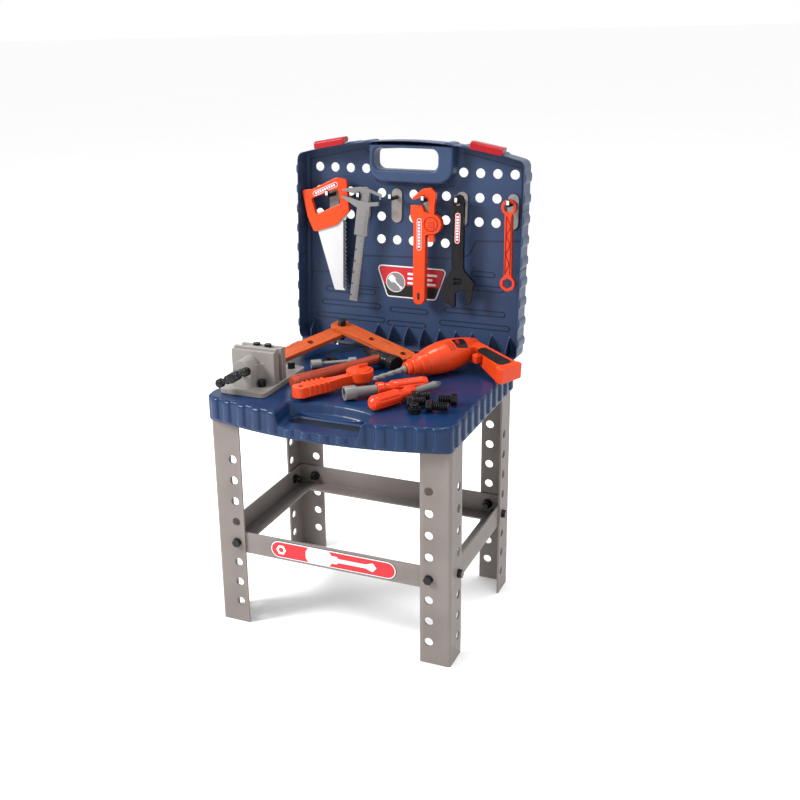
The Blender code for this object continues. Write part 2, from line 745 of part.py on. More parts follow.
def build_saw(lid):
    place = peg_frame(-5)
    outer = rounded(from_peg(-5, (-198, 264), (-187, 218), (-175, 192), (-132, 206.5), (-108, 232),
                             (-113, 286), (-133, 288), (-178, 266)),
                    mm((4, 8, 5, 3, 3, 7, 7, 2))[0], 2)
    grip = rounded(from_peg(-5, (-180, 250), (-171, 223), (-124, 244), (-129, 269.5)), 0.003, 2)
    handle = add("saw_handle", plate(outer, 0.0100, 0.0190, [list(reversed(grip))]), "tool_orange",
                 lid, place)
    slot = from_peg(-5, (-171.5, 206), (-171, 184), (-98, 208), (-105, 237))
    cut(handle, plate(slot, 0.0130, 0.0160))
    back = [(-169.5, 203), (-169, 195), (-137, 94)]
    teeth = []
    for k in range(17):
        h = 98 + 7.0 * k
        teeth += [(-114.6, h), (-117.2, h + 3.4)]
    blade = from_peg(-5, *back, (-135, 92.5), (-117, 93), *teeth, (-114.6, 219), (-111.5, 232.5))
    add("saw_blade", plate(blade, 0.0133, 0.0157), "saw_white", lid, place)


def build_caliper(lid):
    """A caliper: fixed jaws and beam in one piece, and a slider around the beam."""
    place = peg_frame(-3) @ Matrix.Rotation(math.radians(CALIPER_TILT), 4, "Y")
    beam = mm((4, -180), (19, -180), (19, 11), (38, 7), (38, 2), (41, 2), (41, 11), (22, 16),
              (2, 18), (-31, 9), (-31, 6), (4, 4))
    add("caliper_beam", plate(beam, 0.0049, 0.0076), "tool_silver", lid, place)
    block = mm((0, -64), (23, -64), (23, -12), (38, -9), (38, -2), (22, -5.5), (0.5, -5.5),
               (-30, -2), (-30, -5), (0, -18))
    slider = add("caliper_slider", plate(block, 0.0026, 0.0097), "tool_silver", lid, place)
    cut(slider, slab(0.0037, 0.0193, 0.0046, 0.0079, -0.08, 0.02))


def build_pipe_wrench(lid):
    place = peg_frame(1)
    ring = [(45 + 17 * math.cos(math.radians(a)), 219 + 17 * math.sin(math.radians(a)))
            for a in range(-100, 101, 25)]
    outer = from_peg(1, (12.5, 218), (13.5, 90), (17, 83), (23.5, 81), (31, 83), (35, 90), (34, 200),
                     *ring, (31, 239), (27, 248.5), (7, 248.5), (7, 229))
    body = add("pipe_wrench_body", plate(outer, 0.0050, 0.0190), "tool_orange", lid, place)
    x0 = PEG_PITCH
    h0 = PEG_HEIGHT
    cut(body, slab(0.0377 - x0, 0.0483 - x0, 0.0077, 0.0163, 0.18 - h0, 0.27 - h0))
    jaw = from_peg(1, (38, 189), (48, 189), (48, 249), (50, 262), (50, 271), (41, 279), (26, 276),
                   (9, 261), (9, 257), (23, 261.3), (34, 261.3), (38, 252))
    add("pipe_wrench_jaw", plate(jaw, 0.0080, 0.0160), "tool_orange", lid, place)


def build_adjustable_wrench(lid):
    """An adjustable wrench hanging by the hole in its handle, jaws down."""
    place = peg_frame(3)
    outer = from_peg(3, (80.5, 146), (70, 126), (64.5, 105), (69.5, 91), (88, 80), (88, 104), (95, 112),
                     (118, 112), (121, 126), (101, 146), (99.5, 260), (96, 267), (89.5, 270),
                     (82, 267), (78, 260))
    eye = list(reversed(circle(0.0, -0.0009, 0.0055, 10)))
    body = add("adjustable_wrench_body", plate(outer, 0.0070, 0.0160, [eye]), "tool_black", lid, place)
    x0 = 3 * PEG_PITCH
    h0 = PEG_HEIGHT
    cut(body, slab(0.0855 - x0, 0.0985 - x0, 0.001, 0.020, 0.1205 - h0, 0.1315 - h0))
    cut(body, slab(0.0900 - x0, 0.1300 - x0, 0.0087, 0.0143, 0.1105 - h0, 0.1193 - h0))
    jaw = from_peg(3, (92, 119), (92, 114.6), (100, 113.5), (108, 104), (107.5, 87), (115.5, 90),
                   (118.5, 112), (119, 119))
    add("adjustable_wrench_jaw", plate(jaw, 0.0090, 0.0140), "tool_black", lid, place)
    profile = []
    for k in range(4):
        z = -0.0060 + 0.003 * k
        profile += [(0.0044, z), (0.0044, z + 0.0014), (0.0034, z + 0.0018), (0.0034, z + 0.0027)]
    worm = moved(lathe(profile, 10), Matrix.Rotation(math.pi / 2, 4, "Y"))
    at = Matrix.Translation((0.092, 0.0115, 0.1260))
    add("adjustable_wrench_worm", worm, "tool_black", lid, at)


def build_box_wrench(lid):
    place = peg_frame(6)
    top = (175.2, 253.6)
    low = (177.6, 129.5)
    ends = []
    for (cx, cy), start in ((top, -60), (low, 120)):
        for k in range(13):
            a = math.radians(start + 300 * k / 12)
            ends.append((cx + 12.8 * math.cos(a), cy + 12.8 * math.sin(a)))
    holes = [list(reversed(from_peg(6, *circle(cx, cy, 8.4, 12)))) for cx, cy in (top, low)]
    add("box_wrench", plate(from_peg(6, *ends), 0.0080, 0.0160, holes), "tool_red", lid, place)


# ---- vise ---------------------------------------------------------------------------------
def build_vise(bench):
    floor = TABLE_TOP + GAP
    deck = floor + VISE_PLATE
    outline = rounded(
        rectangle(VISE_X - VISE_PLATE_HALF, VISE_X + VISE_PLATE_HALF, VISE_PLATE_FRONT, VISE_PLATE_REAR),
        0.008,
    )
    base = add("vise_base", prism(outline, floor, deck), "vise_grey", bench)
    left = VISE_X - 0.0375
    right = VISE_X + 0.0375
    arch = [
        (VISE_SCREW_X + VISE_BOSS_RADIUS * math.cos(math.radians(a)),
         VISE_SCREW_Z + VISE_BOSS_RADIUS * math.sin(math.radians(a)))
        for a in range(0, 181, 20)
    ]
    arch = [(VISE_SCREW_X + VISE_BOSS_RADIUS, deck - 0.001), *arch,
            (VISE_SCREW_X - VISE_BOSS_RADIUS, deck - 0.001)]
    join(base, slab(left, right, -0.0970, -0.0900, deck - 0.001, VISE_TOP))
    join(base, slab(left, right, -0.0715, -0.0580, deck - 0.001, VISE_TOP))
    join(base, plate(arch, -0.1275, -0.0950))
    bore = moved(lathe([(0.0048, -0.140), (0.0048, -0.0860)]), Matrix.Rotation(-math.pi / 2, 4, "X"))
    cut(base, moved(bore, Matrix.Translation((VISE_SCREW_X, 0, VISE_SCREW_Z))))
    bolts = {"vise_bolt_front": (-0.1265, -0.1060), "vise_bolt_rear": (-0.1255, -0.0090)}
    for x, y in bolts.values():
        cut(base, prism(circle(x, y, 0.0056, 10), floor - 0.01, deck + 0.01))
        cut(bpy.data.objects["bench_top"], prism(circle(x, y, 0.0056, 10), 0.385, 0.400))
    for name, (x, y) in bolts.items():
        nut_face = TABLE_TOP - WALL - GAP - deck
        bolt = stacked([
            (0.0105, "hex", 0.0112), (0.0004, "hex", 0.0120), (0.0003, "round", 0.0050),
            (nut_face + 0.0002, "round", 0.0050), (nut_face, "round", 0.0080),
            (nut_face - 0.0070, "round", 0.0080), (nut_face - 0.0072, "round", 0.0050),
            (nut_face - 0.0110, "round", 0.0046),
        ])
        add(name, bolt, "bolt_black", bench, Matrix.Translation((x, y, deck)))
    jaw = slab(left - VISE_SCREW_X, right - VISE_SCREW_X, -0.0040, 0.0040, deck + GAP - VISE_SCREW_Z,
               VISE_TOP + 0.003 - VISE_SCREW_Z)
    jaw_place = Matrix.Translation((VISE_SCREW_X, -0.0850, VISE_SCREW_Z))
    moving = add("vise_jaw", jaw, "vise_grey", bench, jaw_place)
    socket = lathe([(0.0056, -0.0060), (0.0056, 0.0015)])
    cut(moving, moved(socket, Matrix.Rotation(-math.pi / 2, 4, "X")))
    build_vise_screw(bench)


def build_vise_screw(bench):
    """The screw runs along +Y from its T handle to the moving jaw."""
    screw = lathe([(0.0060, -0.0345), (0.0080, -0.0335), (0.0080, -0.0155), (0.0044, -0.0150),
                   (0.0044, 0.0422)])
    turn = Matrix.Rotation(-math.pi / 2, 4, "X")
    place = Matrix.Translation((VISE_SCREW_X, -0.1265, VISE_SCREW_Z))
    obj = add("vise_screw", moved(screw, turn), "bolt_black", bench, place)
    profile = []
    for centre in (-0.0255, -0.0085, 0.0085, 0.0255):
        for along, radius in ((-0.0070, 0.0046), (-0.0038, 0.0070), (0.0038, 0.0070), (0.0070, 0.0046)):
            profile.append((radius, centre + along))
    bar = moved(lathe(profile, 10), Matrix.Rotation(math.radians(63), 4, "Y"))
    join(obj, moved(bar, Matrix.Translation((0, -0.0270, 0))))


# ---- planks -------------------------------------------------------------------------------
def plank_frame(bench):
    """A frame at the plank bolt, its Z square to the tilted planks and its X along the upper one."""
    normal = Vector((-PLANK_GRADIENT[0], -PLANK_GRADIENT[1], 1)).normalized()
    along = Vector((0.953, -0.303, 0.953 * PLANK_GRADIENT[0] - 0.303 * PLANK_GRADIENT[1])).normalized()
    across = normal.cross(along)
    basis = Matrix((along, across, normal)).transposed().to_4x4()
    return frame("plank_frame", Matrix.Translation(PLANK_APEX) @ basis, bench)


def plank(length, holes):
    outline = rounded(rectangle(-0.016, length, -PLANK_HALF, PLANK_HALF), 0.007)
    rings = [list(reversed(circle(x, 0, PLANK_HOLE, 10))) for x in holes]
    return outline, rings


def build_planks(bench):
    at = plank_frame(bench)
    outline, holes = plank(2 * PLANK_PITCH + 0.016, (0, PLANK_PITCH, 2 * PLANK_PITCH))
    add("plank_upper", prism(outline, -PLANK_THICK, 0, holes), "wood_orange", at)
    swing = Matrix.Rotation(math.radians(-95.5), 4, "Z")
    outline, holes = plank(2 * PLANK_PITCH + 0.010, (0, PLANK_PITCH, 2 * PLANK_PITCH - 0.006))
    low = -2 * PLANK_THICK - GAP
    add("plank_lower", prism(outline, low, -PLANK_THICK - GAP, holes), "wood_orange", at, swing)
    bolt = stacked([
        (0.0100, "hex", 0.0120), (0.0004, "hex", 0.0130), (0.0003, "round", 0.0050),
        (low - GAP + 0.0002, "round", 0.0050), (low - GAP, "round", 0.0080),
        (low - 0.0070, "round", 0.0080), (low - 0.0072, "round", 0.0050), (low - 0.0120, "round", 0.0046),
    ])
    add("plank_bolt", bolt, "bolt_black", at)


# ---- loose tools on the table -------------------------------------------------------------
def crossways(x, y, z, angle):
    """Places a solid built along Z so that it lies level at angle, with its local Y upright."""
    turn = Matrix.Rotation(angle, 4, "Z")
    basis = Matrix(((0, 0, 1, 0), (1, 0, 0, 0), (0, 1, 0, 0), (0, 0, 0, 1)))
    return Matrix.Translation((x, y, z)) @ turn @ basis


def oval(at, half, thick, side=0.0, drop=0.0):
    """A twelve-sided oval ring, half wide and thick high, at that place along Z."""
    return [(x * half + side, y * thick + drop, at) for x, y in circle(0, 0, 1.0, 12)]


def build_hammer(bench):
    """The hammer lies on its side: handle and head in the plane of the table."""
    z = TABLE_TOP + GAP + HAMMER_FACE
    place = crossways(*HAMMER_END, z, HAMMER_ANGLE)
    handle = [(0.0, 0.0095, 0.0075), (0.006, 0.0125, 0.0110), (0.060, 0.0110, 0.0100),
              (0.130, 0.0090, 0.0080), (0.1975, 0.0085, 0.0075)]
    add("hammer_handle", loft([oval(*ring) for ring in handle]), "wood_orange", bench, place)
    profile = [(-0.072, 0.0030, 0.0045), (-0.045, 0.0080, 0.0060), (-0.018, 0.0125, 0.0110),
               (0.014, 0.0125, 0.0110), (0.020, 0.0090, 0.0090), (0.027, 0.0085, 0.0085),
               (0.029, 0.0135, 0.0135), (0.042, 0.0135, 0.0135), (0.0435, 0.0120, 0.0120)]
    rings = []
    for at, half, thick in profile:
        drop = -0.55 * (HAMMER_FACE - thick) if at < 0.0 else 0.0
        side = 0.20 * max(0.0, -0.02 - at)
        rings.append(oval(at, half, thick, side, drop))
    head_place = crossways(*HAMMER_HEAD, z, HAMMER_ANGLE - math.radians(97.8))
    head = add("hammer_head", loft(rings), "tool_black", bench, head_place)
    hole = loft([oval(at, 0.0092, 0.0082) for at in (0.150, 0.230)])
    cut(head, moved(hole, head_place.inverted() @ place))


def build_ratchet(bench):
    """A toy ratchet: flat handle with ribs, round head with a thumb lever, drive underneath."""
    angle = math.atan2(97, 60)
    z = TABLE_TOP + GAP
    place = Matrix.Translation((0.005, -0.027, z)) @ Matrix.Rotation(angle, 4, "Z")
    low = 0.0100
    high = 0.0220
    head = add("ratchet_body", prism(circle(0, 0, 0.0215, 16), low, high + 0.004), "tool_orange", bench, place)
    corners = mm((-122, -13), (-62, -11), (-40, -7), (-15, -7), (-15, 7), (-40, 7), (-62, 11), (-122, 13))
    grip = rounded(corners, mm((9, 2, 2, 0, 0, 2, 2, 9))[0], 2)
    eye = list(reversed(circle(-0.108, 0, 0.0042, 8)))
    join(head, prism(grip, 0.0060, high, [eye]))
    join(head, slab(-0.003, 0.014, -0.002, 0.002, high, high + 0.012))
    cut(head, lathe([(0.0110, low - 0.01), (0.0110, low + 0.006)]))
    drive = stacked([(0.0, "round", 0.0060), (low - 0.0005, "round", 0.0062), (low - 0.0004, "round", 0.0106),
                     (low + 0.0055, "round", 0.0106)])
    add("ratchet_drive", drive, "tool_orange", bench, place)


def turned(name, profile, colour, bench, tip, angle, z, count=12):
    """A round tool part lying on the table, its profile given from its near end in millimetres."""
    pairs = [(r * MM, at * MM) for at, r in profile]
    return add(name, lathe(pairs, count), colour, bench, lying(*tip, z, angle))


def build_drivers(bench):
    angle = math.atan2(91, 99)
    tip = (0.0110, -0.1000)
    z = TABLE_TOP + GAP + 0.0112
    shank = [(0, 11.0), (17, 11.0), (22, 8.0), (52, 7.2), (60, 4.0), (72, 4.0)]
    socket = turned("nut_driver_socket", shank, "tool_silver", bench, tip, angle, z)
    cut(socket, prism(hexagon(0.0150), -0.005, 0.013))
    grip = [(52.4, 10.5), (62, 10.5), (66, 8.0), (72, 8.0), (78, 10.8), (126, 11.2), (134, 9.5), (136, 4.0)]
    handle = turned("nut_driver_handle", grip, "tool_red", bench, tip, angle, z)
    cut(handle, lathe([(0.0075, 0.040), (0.0075, 0.0526), (0.0043, 0.0600), (0.0043, 0.0723)]))
    angle = math.atan2(70, 35)
    tip = (0.0690, -0.1290)
    z = TABLE_TOP + GAP + 0.0120
    grip = [(-3, 5.0), (1, 10.0), (6, 11.8), (48, 11.5), (58, 8.0), (66, 8.0), (70, 10.5), (81, 10.5),
            (83, 8.0)]
    handle = turned("screwdriver_handle", grip, "tool_red", bench, tip, angle, z)
    cut(handle, lathe([(0.0053, 0.066), (0.0053, 0.090)], 12))
    shank = [(66.3, 5.0), (114, 5.0), (125, 6.2), (137, 2.6), (138, 1.8)]
    blade = turned("screwdriver_blade", shank, "tool_silver", bench, tip, angle, z)
    sides = [slab(-0.02, 0.02, s * 0.0107 - 0.009, s * 0.0107 + 0.009, 0.127, 0.150) for s in (-1, 1)]
    cut(blade, gathered(sides))
    angle = math.atan2(45, 62)
    shank = [(0, 7.4), (17, 7.4), (19, 3.2), (62, 3.2), (64, 6.4), (76, 6.4)]
    tip = (-0.104, 0.020)
    rod = turned("socket_wrench", shank, "tool_silver", bench, tip, angle, TABLE_TOP + GAP + 0.0076)
    cut(rod, prism(hexagon(0.0095), -0.005, 0.010))
    ring = prism(circle(-0.094, 0.071, 0.0120, 14), TABLE_TOP + GAP, TABLE_TOP + 0.0035,
                 [list(reversed(circle(-0.094, 0.071, 0.0052, 12)))])
    add("washer", ring, "bolt_black", bench)


# ---- drill --------------------------------------------------------------------------------
def build_drill(bench):
    """The drill lies on its side: nose at the frame's origin, body along +X, grip along -Y."""
    turn = Matrix.Rotation(DRILL_TURN, 4, "Z") @ Matrix.Rotation(-DRILL_PITCH, 4, "Y")
    turn = turn @ Matrix.Rotation(DRILL_ROLL, 4, "X")
    at = frame("drill_frame", Matrix.Translation(DRILL_NOSE) @ turn, bench)
    along = Matrix.Rotation(math.pi / 2, 4, "Y")
    profile = mm((13.0, 10.3), (13.8, 12.5), (13.8, 24.0), (17.8, 26.0), (18.6, 38.5), (20.5, 40.5),
                 (24.0, 56.0), (26.0, 76.0), (25.8, 95.0), (22.8, 115.0), (18.8, 134.0), (14.0, 148.0),
                 (8.0, 152.0))
    body = add("drill_body", moved(lathe(profile, 16), along), "tool_orange", at)
    grip = rounded(mm((112, -10), (128, -26), (105, -100), (142, -104), (144, -12)), mm((2, 2, 0, 3, 4))[0], 2)
    join(body, prism(grip, -0.0140, 0.0140))
    foot = rounded(mm((103, -96), (103, -111), (148, -111), (147, -99)), 0.003, 2)
    join(body, prism(foot, -0.0130, 0.0130))
    cut(body, moved(lathe([(0.0085, -0.01), (0.0085, 0.019)]), along))
    cut(body, slab(0.1100, 0.1290, -0.0455, -0.0280, -0.0072, 0.0072))
    cut(body, slab(0.0935, 0.1065, -0.0160, -0.0060, 0.0180, 0.0300))
    chuck = lathe(mm((8.5, 1.5), (10.6, 3.0), (10.6, 9.9), (7.5, 10.0), (7.5, 18.0)))
    chuck_obj = add("drill_chuck", moved(chuck, along), "tool_orange", at)
    cut(chuck_obj, moved(lathe([(0.0043, -0.02), (0.0043, 0.0095)]), along))
    bit = lathe(mm((1.5, -62.0), (4.2, -58.0), (4.0, -4.0), (6.0, -3.5), (6.0, 1.0), (4.0, 1.1), (4.0, 9.0)))
    add("drill_bit", moved(bit, along), "tool_silver", at)
    trigger = rounded(mm((109, -45), (125.5, -45), (125.5, -28.3), (111, -28.3)), mm((3, 0, 0, 2))[0], 2)
    add("drill_trigger", prism(trigger, -0.0068, 0.0068), "tool_orange", at)
    switch = slab(0.0965, 0.0995, -0.0157, -0.0063, 0.0183, 0.0275)
    add("drill_switch", switch, "latch_red", at)


# ---- build --------------------------------------------------------------------------------
for old in list(bpy.data.objects):
    bpy.data.objects.remove(old)

MATERIALS = make_materials()
BENCH = frame("bench_frame", Matrix.Translation(CENTRE))
build_bench_top(BENCH)
build_legs(BENCH)
build_rails(BENCH)
build_rail_bolts(BENCH)
LID = build_lid_parts(BENCH)
build_saw(LID)
build_caliper(LID)
build_pipe_wrench(LID)
build_adjustable_wrench(LID)
build_box_wrench(LID)
build_vise(BENCH)
build_planks(BENCH)
build_hammer(BENCH)
build_ratchet(BENCH)
build_drivers(BENCH)
build_drill(BENCH)
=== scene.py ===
"""Toy workbench: the looks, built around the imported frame.

Each piece is modelled again with rounder curves and softened edges, and stands for its CAD node.
Metres, +Z up. The bench is built about its own centre line, like the CAD, and then placed
where the frame's table top is.
"""

import json
import math

import bmesh
import bpy
from mathutils import Matrix, Vector

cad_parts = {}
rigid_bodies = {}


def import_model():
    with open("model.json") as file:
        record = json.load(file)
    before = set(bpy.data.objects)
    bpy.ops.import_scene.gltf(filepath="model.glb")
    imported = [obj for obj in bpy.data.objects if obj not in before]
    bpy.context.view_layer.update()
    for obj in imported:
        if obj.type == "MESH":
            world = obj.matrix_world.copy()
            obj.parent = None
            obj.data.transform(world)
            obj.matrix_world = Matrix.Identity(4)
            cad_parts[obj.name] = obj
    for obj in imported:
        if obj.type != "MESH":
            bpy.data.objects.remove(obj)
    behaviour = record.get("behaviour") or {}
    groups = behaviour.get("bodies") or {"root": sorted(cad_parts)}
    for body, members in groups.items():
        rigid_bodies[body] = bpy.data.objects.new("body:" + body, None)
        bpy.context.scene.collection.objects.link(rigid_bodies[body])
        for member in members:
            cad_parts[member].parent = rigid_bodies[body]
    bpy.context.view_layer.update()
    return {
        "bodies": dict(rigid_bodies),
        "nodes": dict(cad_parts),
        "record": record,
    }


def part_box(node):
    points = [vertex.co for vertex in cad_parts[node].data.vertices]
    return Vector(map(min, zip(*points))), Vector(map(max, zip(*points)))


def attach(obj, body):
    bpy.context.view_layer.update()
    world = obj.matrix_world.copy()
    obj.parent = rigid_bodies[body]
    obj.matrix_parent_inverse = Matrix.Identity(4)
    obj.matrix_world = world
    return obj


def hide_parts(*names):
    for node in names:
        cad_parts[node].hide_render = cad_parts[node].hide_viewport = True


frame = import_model()
for leftover in ("Cube", "Light", "Camera"):  # what a new file comes with
    if leftover in bpy.data.objects:
        bpy.data.objects.remove(bpy.data.objects[leftover])
BODY_OF = {n: body for body, nodes in frame["record"]["behaviour"]["bodies"].items() for n in nodes}

MM = 0.001
GAP = 0.3 * MM  # left between touching pieces

# ---- driving dimensions -------------------------------------------------------------------
FINE = 3  # how many times finer the round shapes are than the CAD's
CORNER_FINE = 2  # the same for rounded corners

TABLE_TOP = 0.395
SKIRT_BOTTOM = 0.355
BENCH_HALF = 0.205  # half width of the table top
FRONT_CORNER = -0.151  # y of the table's front corners
FRONT_MIDDLE = -0.184  # y of the bulging middle of the front edge
REAR_EDGE = 0.1650
CORNER_RADIUS = 0.012
WALL = 0.003
FLUTE_DEPTH = 0.0025
FLUTE_PITCH = 0.0285
FLUTE_WIDTH = 0.0165
FLUTE_STEPS = 12
ARC_STEPS = 14  # along a bulging edge
SKIRT_INSET = 0.0012  # of the skirt between its flutes, which makes them stand out

RECESS_X = 0.004
RECESS_FLOOR = 0.3725
RECESS_HALF = 0.070
RECESS_SLOPE = 0.10  # of the hollow's floor, down towards the front
RECESS_LEVEL = -0.166  # y where the sloping floor has its named height
RECESS_BACK = -0.1185
SLOT_HALF = 0.061
SLOT_BACK = -0.1345
SLOT_FRONT = -0.1575
SLOT_WALL = 0.0025
SLOT_LIP = 0.0024  # radius of the slot's rounded upper edge

LEG_HALF_X = 0.1995
LEG_FRONT = -0.1455
LEG_REAR = 0.148
LEG_FLANGE = 0.049
LEG_WALL = 0.003
LEG_CORNER_RADIUS = 0.005
LEG_HOLES = 8
LEG_FIRST_HOLE = 0.037
LEG_HOLE_STEP = 0.036
LEG_HOLE_RADIUS = 0.007
LEG_HOLE_INSET = 0.035

RAIL_Z = LEG_FIRST_HOLE + 3 * LEG_HOLE_STEP
RAIL_HEIGHT = 0.036
RAIL_WALL = 0.003

HINGE_Y = 0.1690
HINGE_Z = 0.3962
HINGE_KNUCKLE = 0.0036
HINGE_PIN = 0.0016
HINGE_PLACES = (-0.150, -0.050, 0.050, 0.150)
HINGE_WIDTH = 0.022
HINGE_END = 0.011  # width of the table's knuckles, one on each side of the lid's
HINGE_OFFSET = 0.0170

LID_Y = 0.168
LID_TILT = math.radians(3.3)
LID_HALF = 0.2035
LID_LOW = 0.0015
LID_CORNER = 0.327
LID_MIDDLE = 0.354
LID_DEPTH = 0.0385
LID_FLUTE = 0.0025  # height of the ribs around the lid
LID_FLUTE_PITCH = 0.033
LID_FLUTE_WIDTH = 0.016
LID_WALL = 0.0015  # of the lid between its ribs
LID_PANEL = 0.036  # depth of the peg board's face behind the rim
PEG_PITCH = 0.0292
PEG_HOLE_RADIUS = 0.00775
PEG_ROWS = (0.303, 0.263, 0.223, 0.184)
HANDLE_LEFT = -0.0625
HANDLE_RIGHT = 0.052
HANDLE_LOW = 0.305
HANDLE_HIGH = 0.341

FIN_PLACES = (-0.184, -0.062, -0.034, -0.005, 0.024, 0.053, 0.082, 0.111, 0.146, 0.178)

LATCH_CENTRES = (-0.137, 0.139)
LATCH_HALF = 0.0275
LATCH_DEPTH = 0.0085  # of the latch pin behind the rim
LATCH_RISE = 0.0040  # of the latch pin above the rim
LATCH_PIN = 0.0016

HOOK_COLUMNS = (-5, -3, -1, 1, 3, 6)
PEG_HEIGHT = 0.2575
EYE_DROP = -0.0009  # of the adjustable wrench's hole below its peg
CALIPER_TILT = math.radians(6.7)  # that the caliper hangs askew
STRIP_MARKS = 9  # plain marks that stand for a tool's printed name
SAW_TEETH = 17
SAW_TOOTH = 7.0  # pitch of the teeth in millimetres
TOOTH_FOOT = 98  # height of the lowest tooth in millimetres

BOSS = (-0.0715, 0.0790, 0.284, 0.3475)  # sides, foot and top of the frame around the handle opening
BOARD_LINE = (0.0010, 0.0004)  # how far a raised line stands out of the board and goes into it
BACK_LINE = (0.0006, 0.0004)  # how far a raised line goes into the lid's back and stands out of it
LOOPS = ((-160, -73, 89), (-168, -63, 65), (-178, -55, 41), (-36, 25, 62.5), (-41, 22, 38),
         (111, 143, 136.5), (110, 159, 112.5), (65, 163, 70.5), (56, 172, 47.5))  # ends and height, in mm
LOOP_LINE = 0.0012  # width of the line around a long loop
APRONS = ((-0.197, -0.174), (-0.126, -0.074), (-0.026, 0.026), (0.074, 0.126), (0.174, 0.197))
SIDE_RIBS = (0.151, 0.199, 0.247)  # heights of the ribs on the lid's side walls
LABEL_STEP = 0.0004  # thickness of one layer of a printed label
RAIL_LABEL = (-0.0900, 0.0960)  # centres of the label's round ends

VISE_X = -0.1465
VISE_PLATE_HALF = 0.040
VISE_PLATE_FRONT = -0.137
VISE_PLATE_REAR = 0.006
VISE_PLATE = 0.008
VISE_TOP = 0.456
VISE_SCREW_X = -0.1500
VISE_SCREW_Z = 0.430
VISE_BOSS_RADIUS = 0.016
VISE_BOSS_STRETCH = 1.18  # of the boss's round top, upwards
VISE_JAW_HALF = 0.0375
VISE_BOLTS = {"vise_bolt_front": (-0.1265, -0.1060), "vise_bolt_rear": (-0.1255, -0.0090)}
VISE_BOLT_BORE = 0.0056
VISE_CAPS = ((-0.1560, -0.0645), (-0.1360, -0.0645))

PLANK_APEX = Vector((-0.1040, 0.1435, 0.4372))
PLANK_GRADIENT = (-0.1307, 0.1904)  # rise of the planks per metre along X and along Y
PLANK_THICK = 0.0078
PLANK_HALF = 0.015
PLANK_PITCH = 0.070
PLANK_HOLE = 0.0058
PLANK_SWING = math.radians(-95.5)  # of the lower plank from the upper one

HAMMER_END = (-0.0820, -0.0900)
HAMMER_HEAD = (0.0000, 0.0745)
HAMMER_ANGLE = math.radians(63.7)
HAMMER_FACE = 0.0140  # half height of the hammer lying on its side
HAMMER_HEAD_TURN = math.radians(97.8)  # between handle and head

THREAD_PITCH = 0.0026
LOOSE_BOLTS = (  # place of the head, direction in degrees, length of thread
    (0.1780, -0.0605, -167.0, 0.0195), (0.1440, -0.1010, 12.0, 0.0235), (0.1090, -0.0730, 29.5, 0.019),
    (0.1115, -0.0970, 30.0, 0.019),
)
STANDING_BOLT = (0.1295, -0.1120)

DRILL_NOSE = Vector((0.0651, 0.0114, 0.4168))
DRILL_TURN = math.radians(59.5)
DRILL_PITCH = math.radians(3.5)
DRILL_ROLL = math.radians(7.0)
BIT_LEAD = 0.0160  # of the twist drill's winding

# The view and the lamps.
CAMERA_ANGLES = (24.7231, -19.0948, -1.3352)  # yaw, pitch and roll in degrees
CAMERA_PLACE = Vector((0.69296, -1.54770, 0.97542))
CAMERA_LENS = 50.53
CAMERA_SHIFT = (0.0587, -0.0200)
LIGHTS = {  # place, height of the target, size, power
    "key": ((-1.7, -1.4, 1.9), 0.4, 0.9, 92.0),
    "fill": ((1.9, -1.3, 1.2), 0.4, 1.2, 4.0),
    "top": ((0.3, 0.5, 2.6), 0.3, 0.6, 26.0),
}

# Moves the bench from its own centre line to where the frame has it.
LOW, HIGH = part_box("bench_top")
BENCH_SHIFT = Vector(((LOW.x + HIGH.x) / 2, HIGH.y - HINGE_Y - HINGE_KNUCKLE * math.cos(math.pi / 8), 0.0))


# ---- small helpers ------------------------------------------------------------------------
def in_mm(*values):
    """Lengths given in millimetres, in metres."""
    return tuple(value * MM for value in values)


def mm(*pairs):
    """Points given in millimetres, in metres."""
    return [in_mm(*pair) for pair in pairs]


def circle(x, y, radius, count):
    """Points around a circle, anticlockwise."""
    count *= FINE
    turn = 2 * math.pi / count
    return [
        (x + radius * math.cos(turn * (i + 0.5)), y + radius * math.sin(turn * (i + 0.5)))
        for i in range(count)
    ]


def rounded(corners, radius, steps=3):
    """A polygon with every corner rounded, or each by its own radius."""
    steps *= CORNER_FINE
    radii = radius if isinstance(radius, (list, tuple)) else [radius] * len(corners)
    outline = []
    for i, (corner, r) in enumerate(zip(corners, radii)):
        here = Vector(corner)
        before = (Vector(corners[i - 1]) - here).normalized()
        after = (Vector(corners[(i + 1) % len(corners)]) - here).normalized()
        if r <= 0:
            outline.append(tuple(here))
            continue
        half = before.angle(after) / 2
        middle = here + (before + after).normalized() * (r / math.sin(half))
        first = here + before * (r / math.tan(half)) - middle
        last = here + after * (r / math.tan(half)) - middle
        for k in range(steps + 1):
            spoke = first.lerp(last, k / steps).normalized() * r
            outline.append(tuple(middle + spoke))
    return outline


def opening(outline):
    """An outline run the other way round, for a hole in a plate."""
    return list(reversed(outline))


def rectangle(x0, x1, y0, y1):
    """Four corners, anticlockwise."""
    return [(x0, y0), (x1, y0), (x1, y1), (x0, y1)]


def stadium(x0, y0, x1, y1, radius, steps=5):
    """A slot outline around the line between two points."""
    steps *= FINE
    angle = math.atan2(y1 - y0, x1 - x0)
    outline = []
    for cx, cy, start in ((x1, y1, angle - math.pi / 2), (x0, y0, angle + math.pi / 2)):
        for k in range(steps + 1):
            a = start + math.pi * k / steps
            outline.append((cx + radius * math.cos(a), cy + radius * math.sin(a)))
    return outline


def front_arc(half, corner, middle, count):
    """Points along a shallow arc from -half to +half whose ends are at corner."""
    rise = middle - corner
    return [
        (half * t, corner + rise * (1 - t * t))
        for t in (-1 + 2 * k / count for k in range(1, count))
    ]


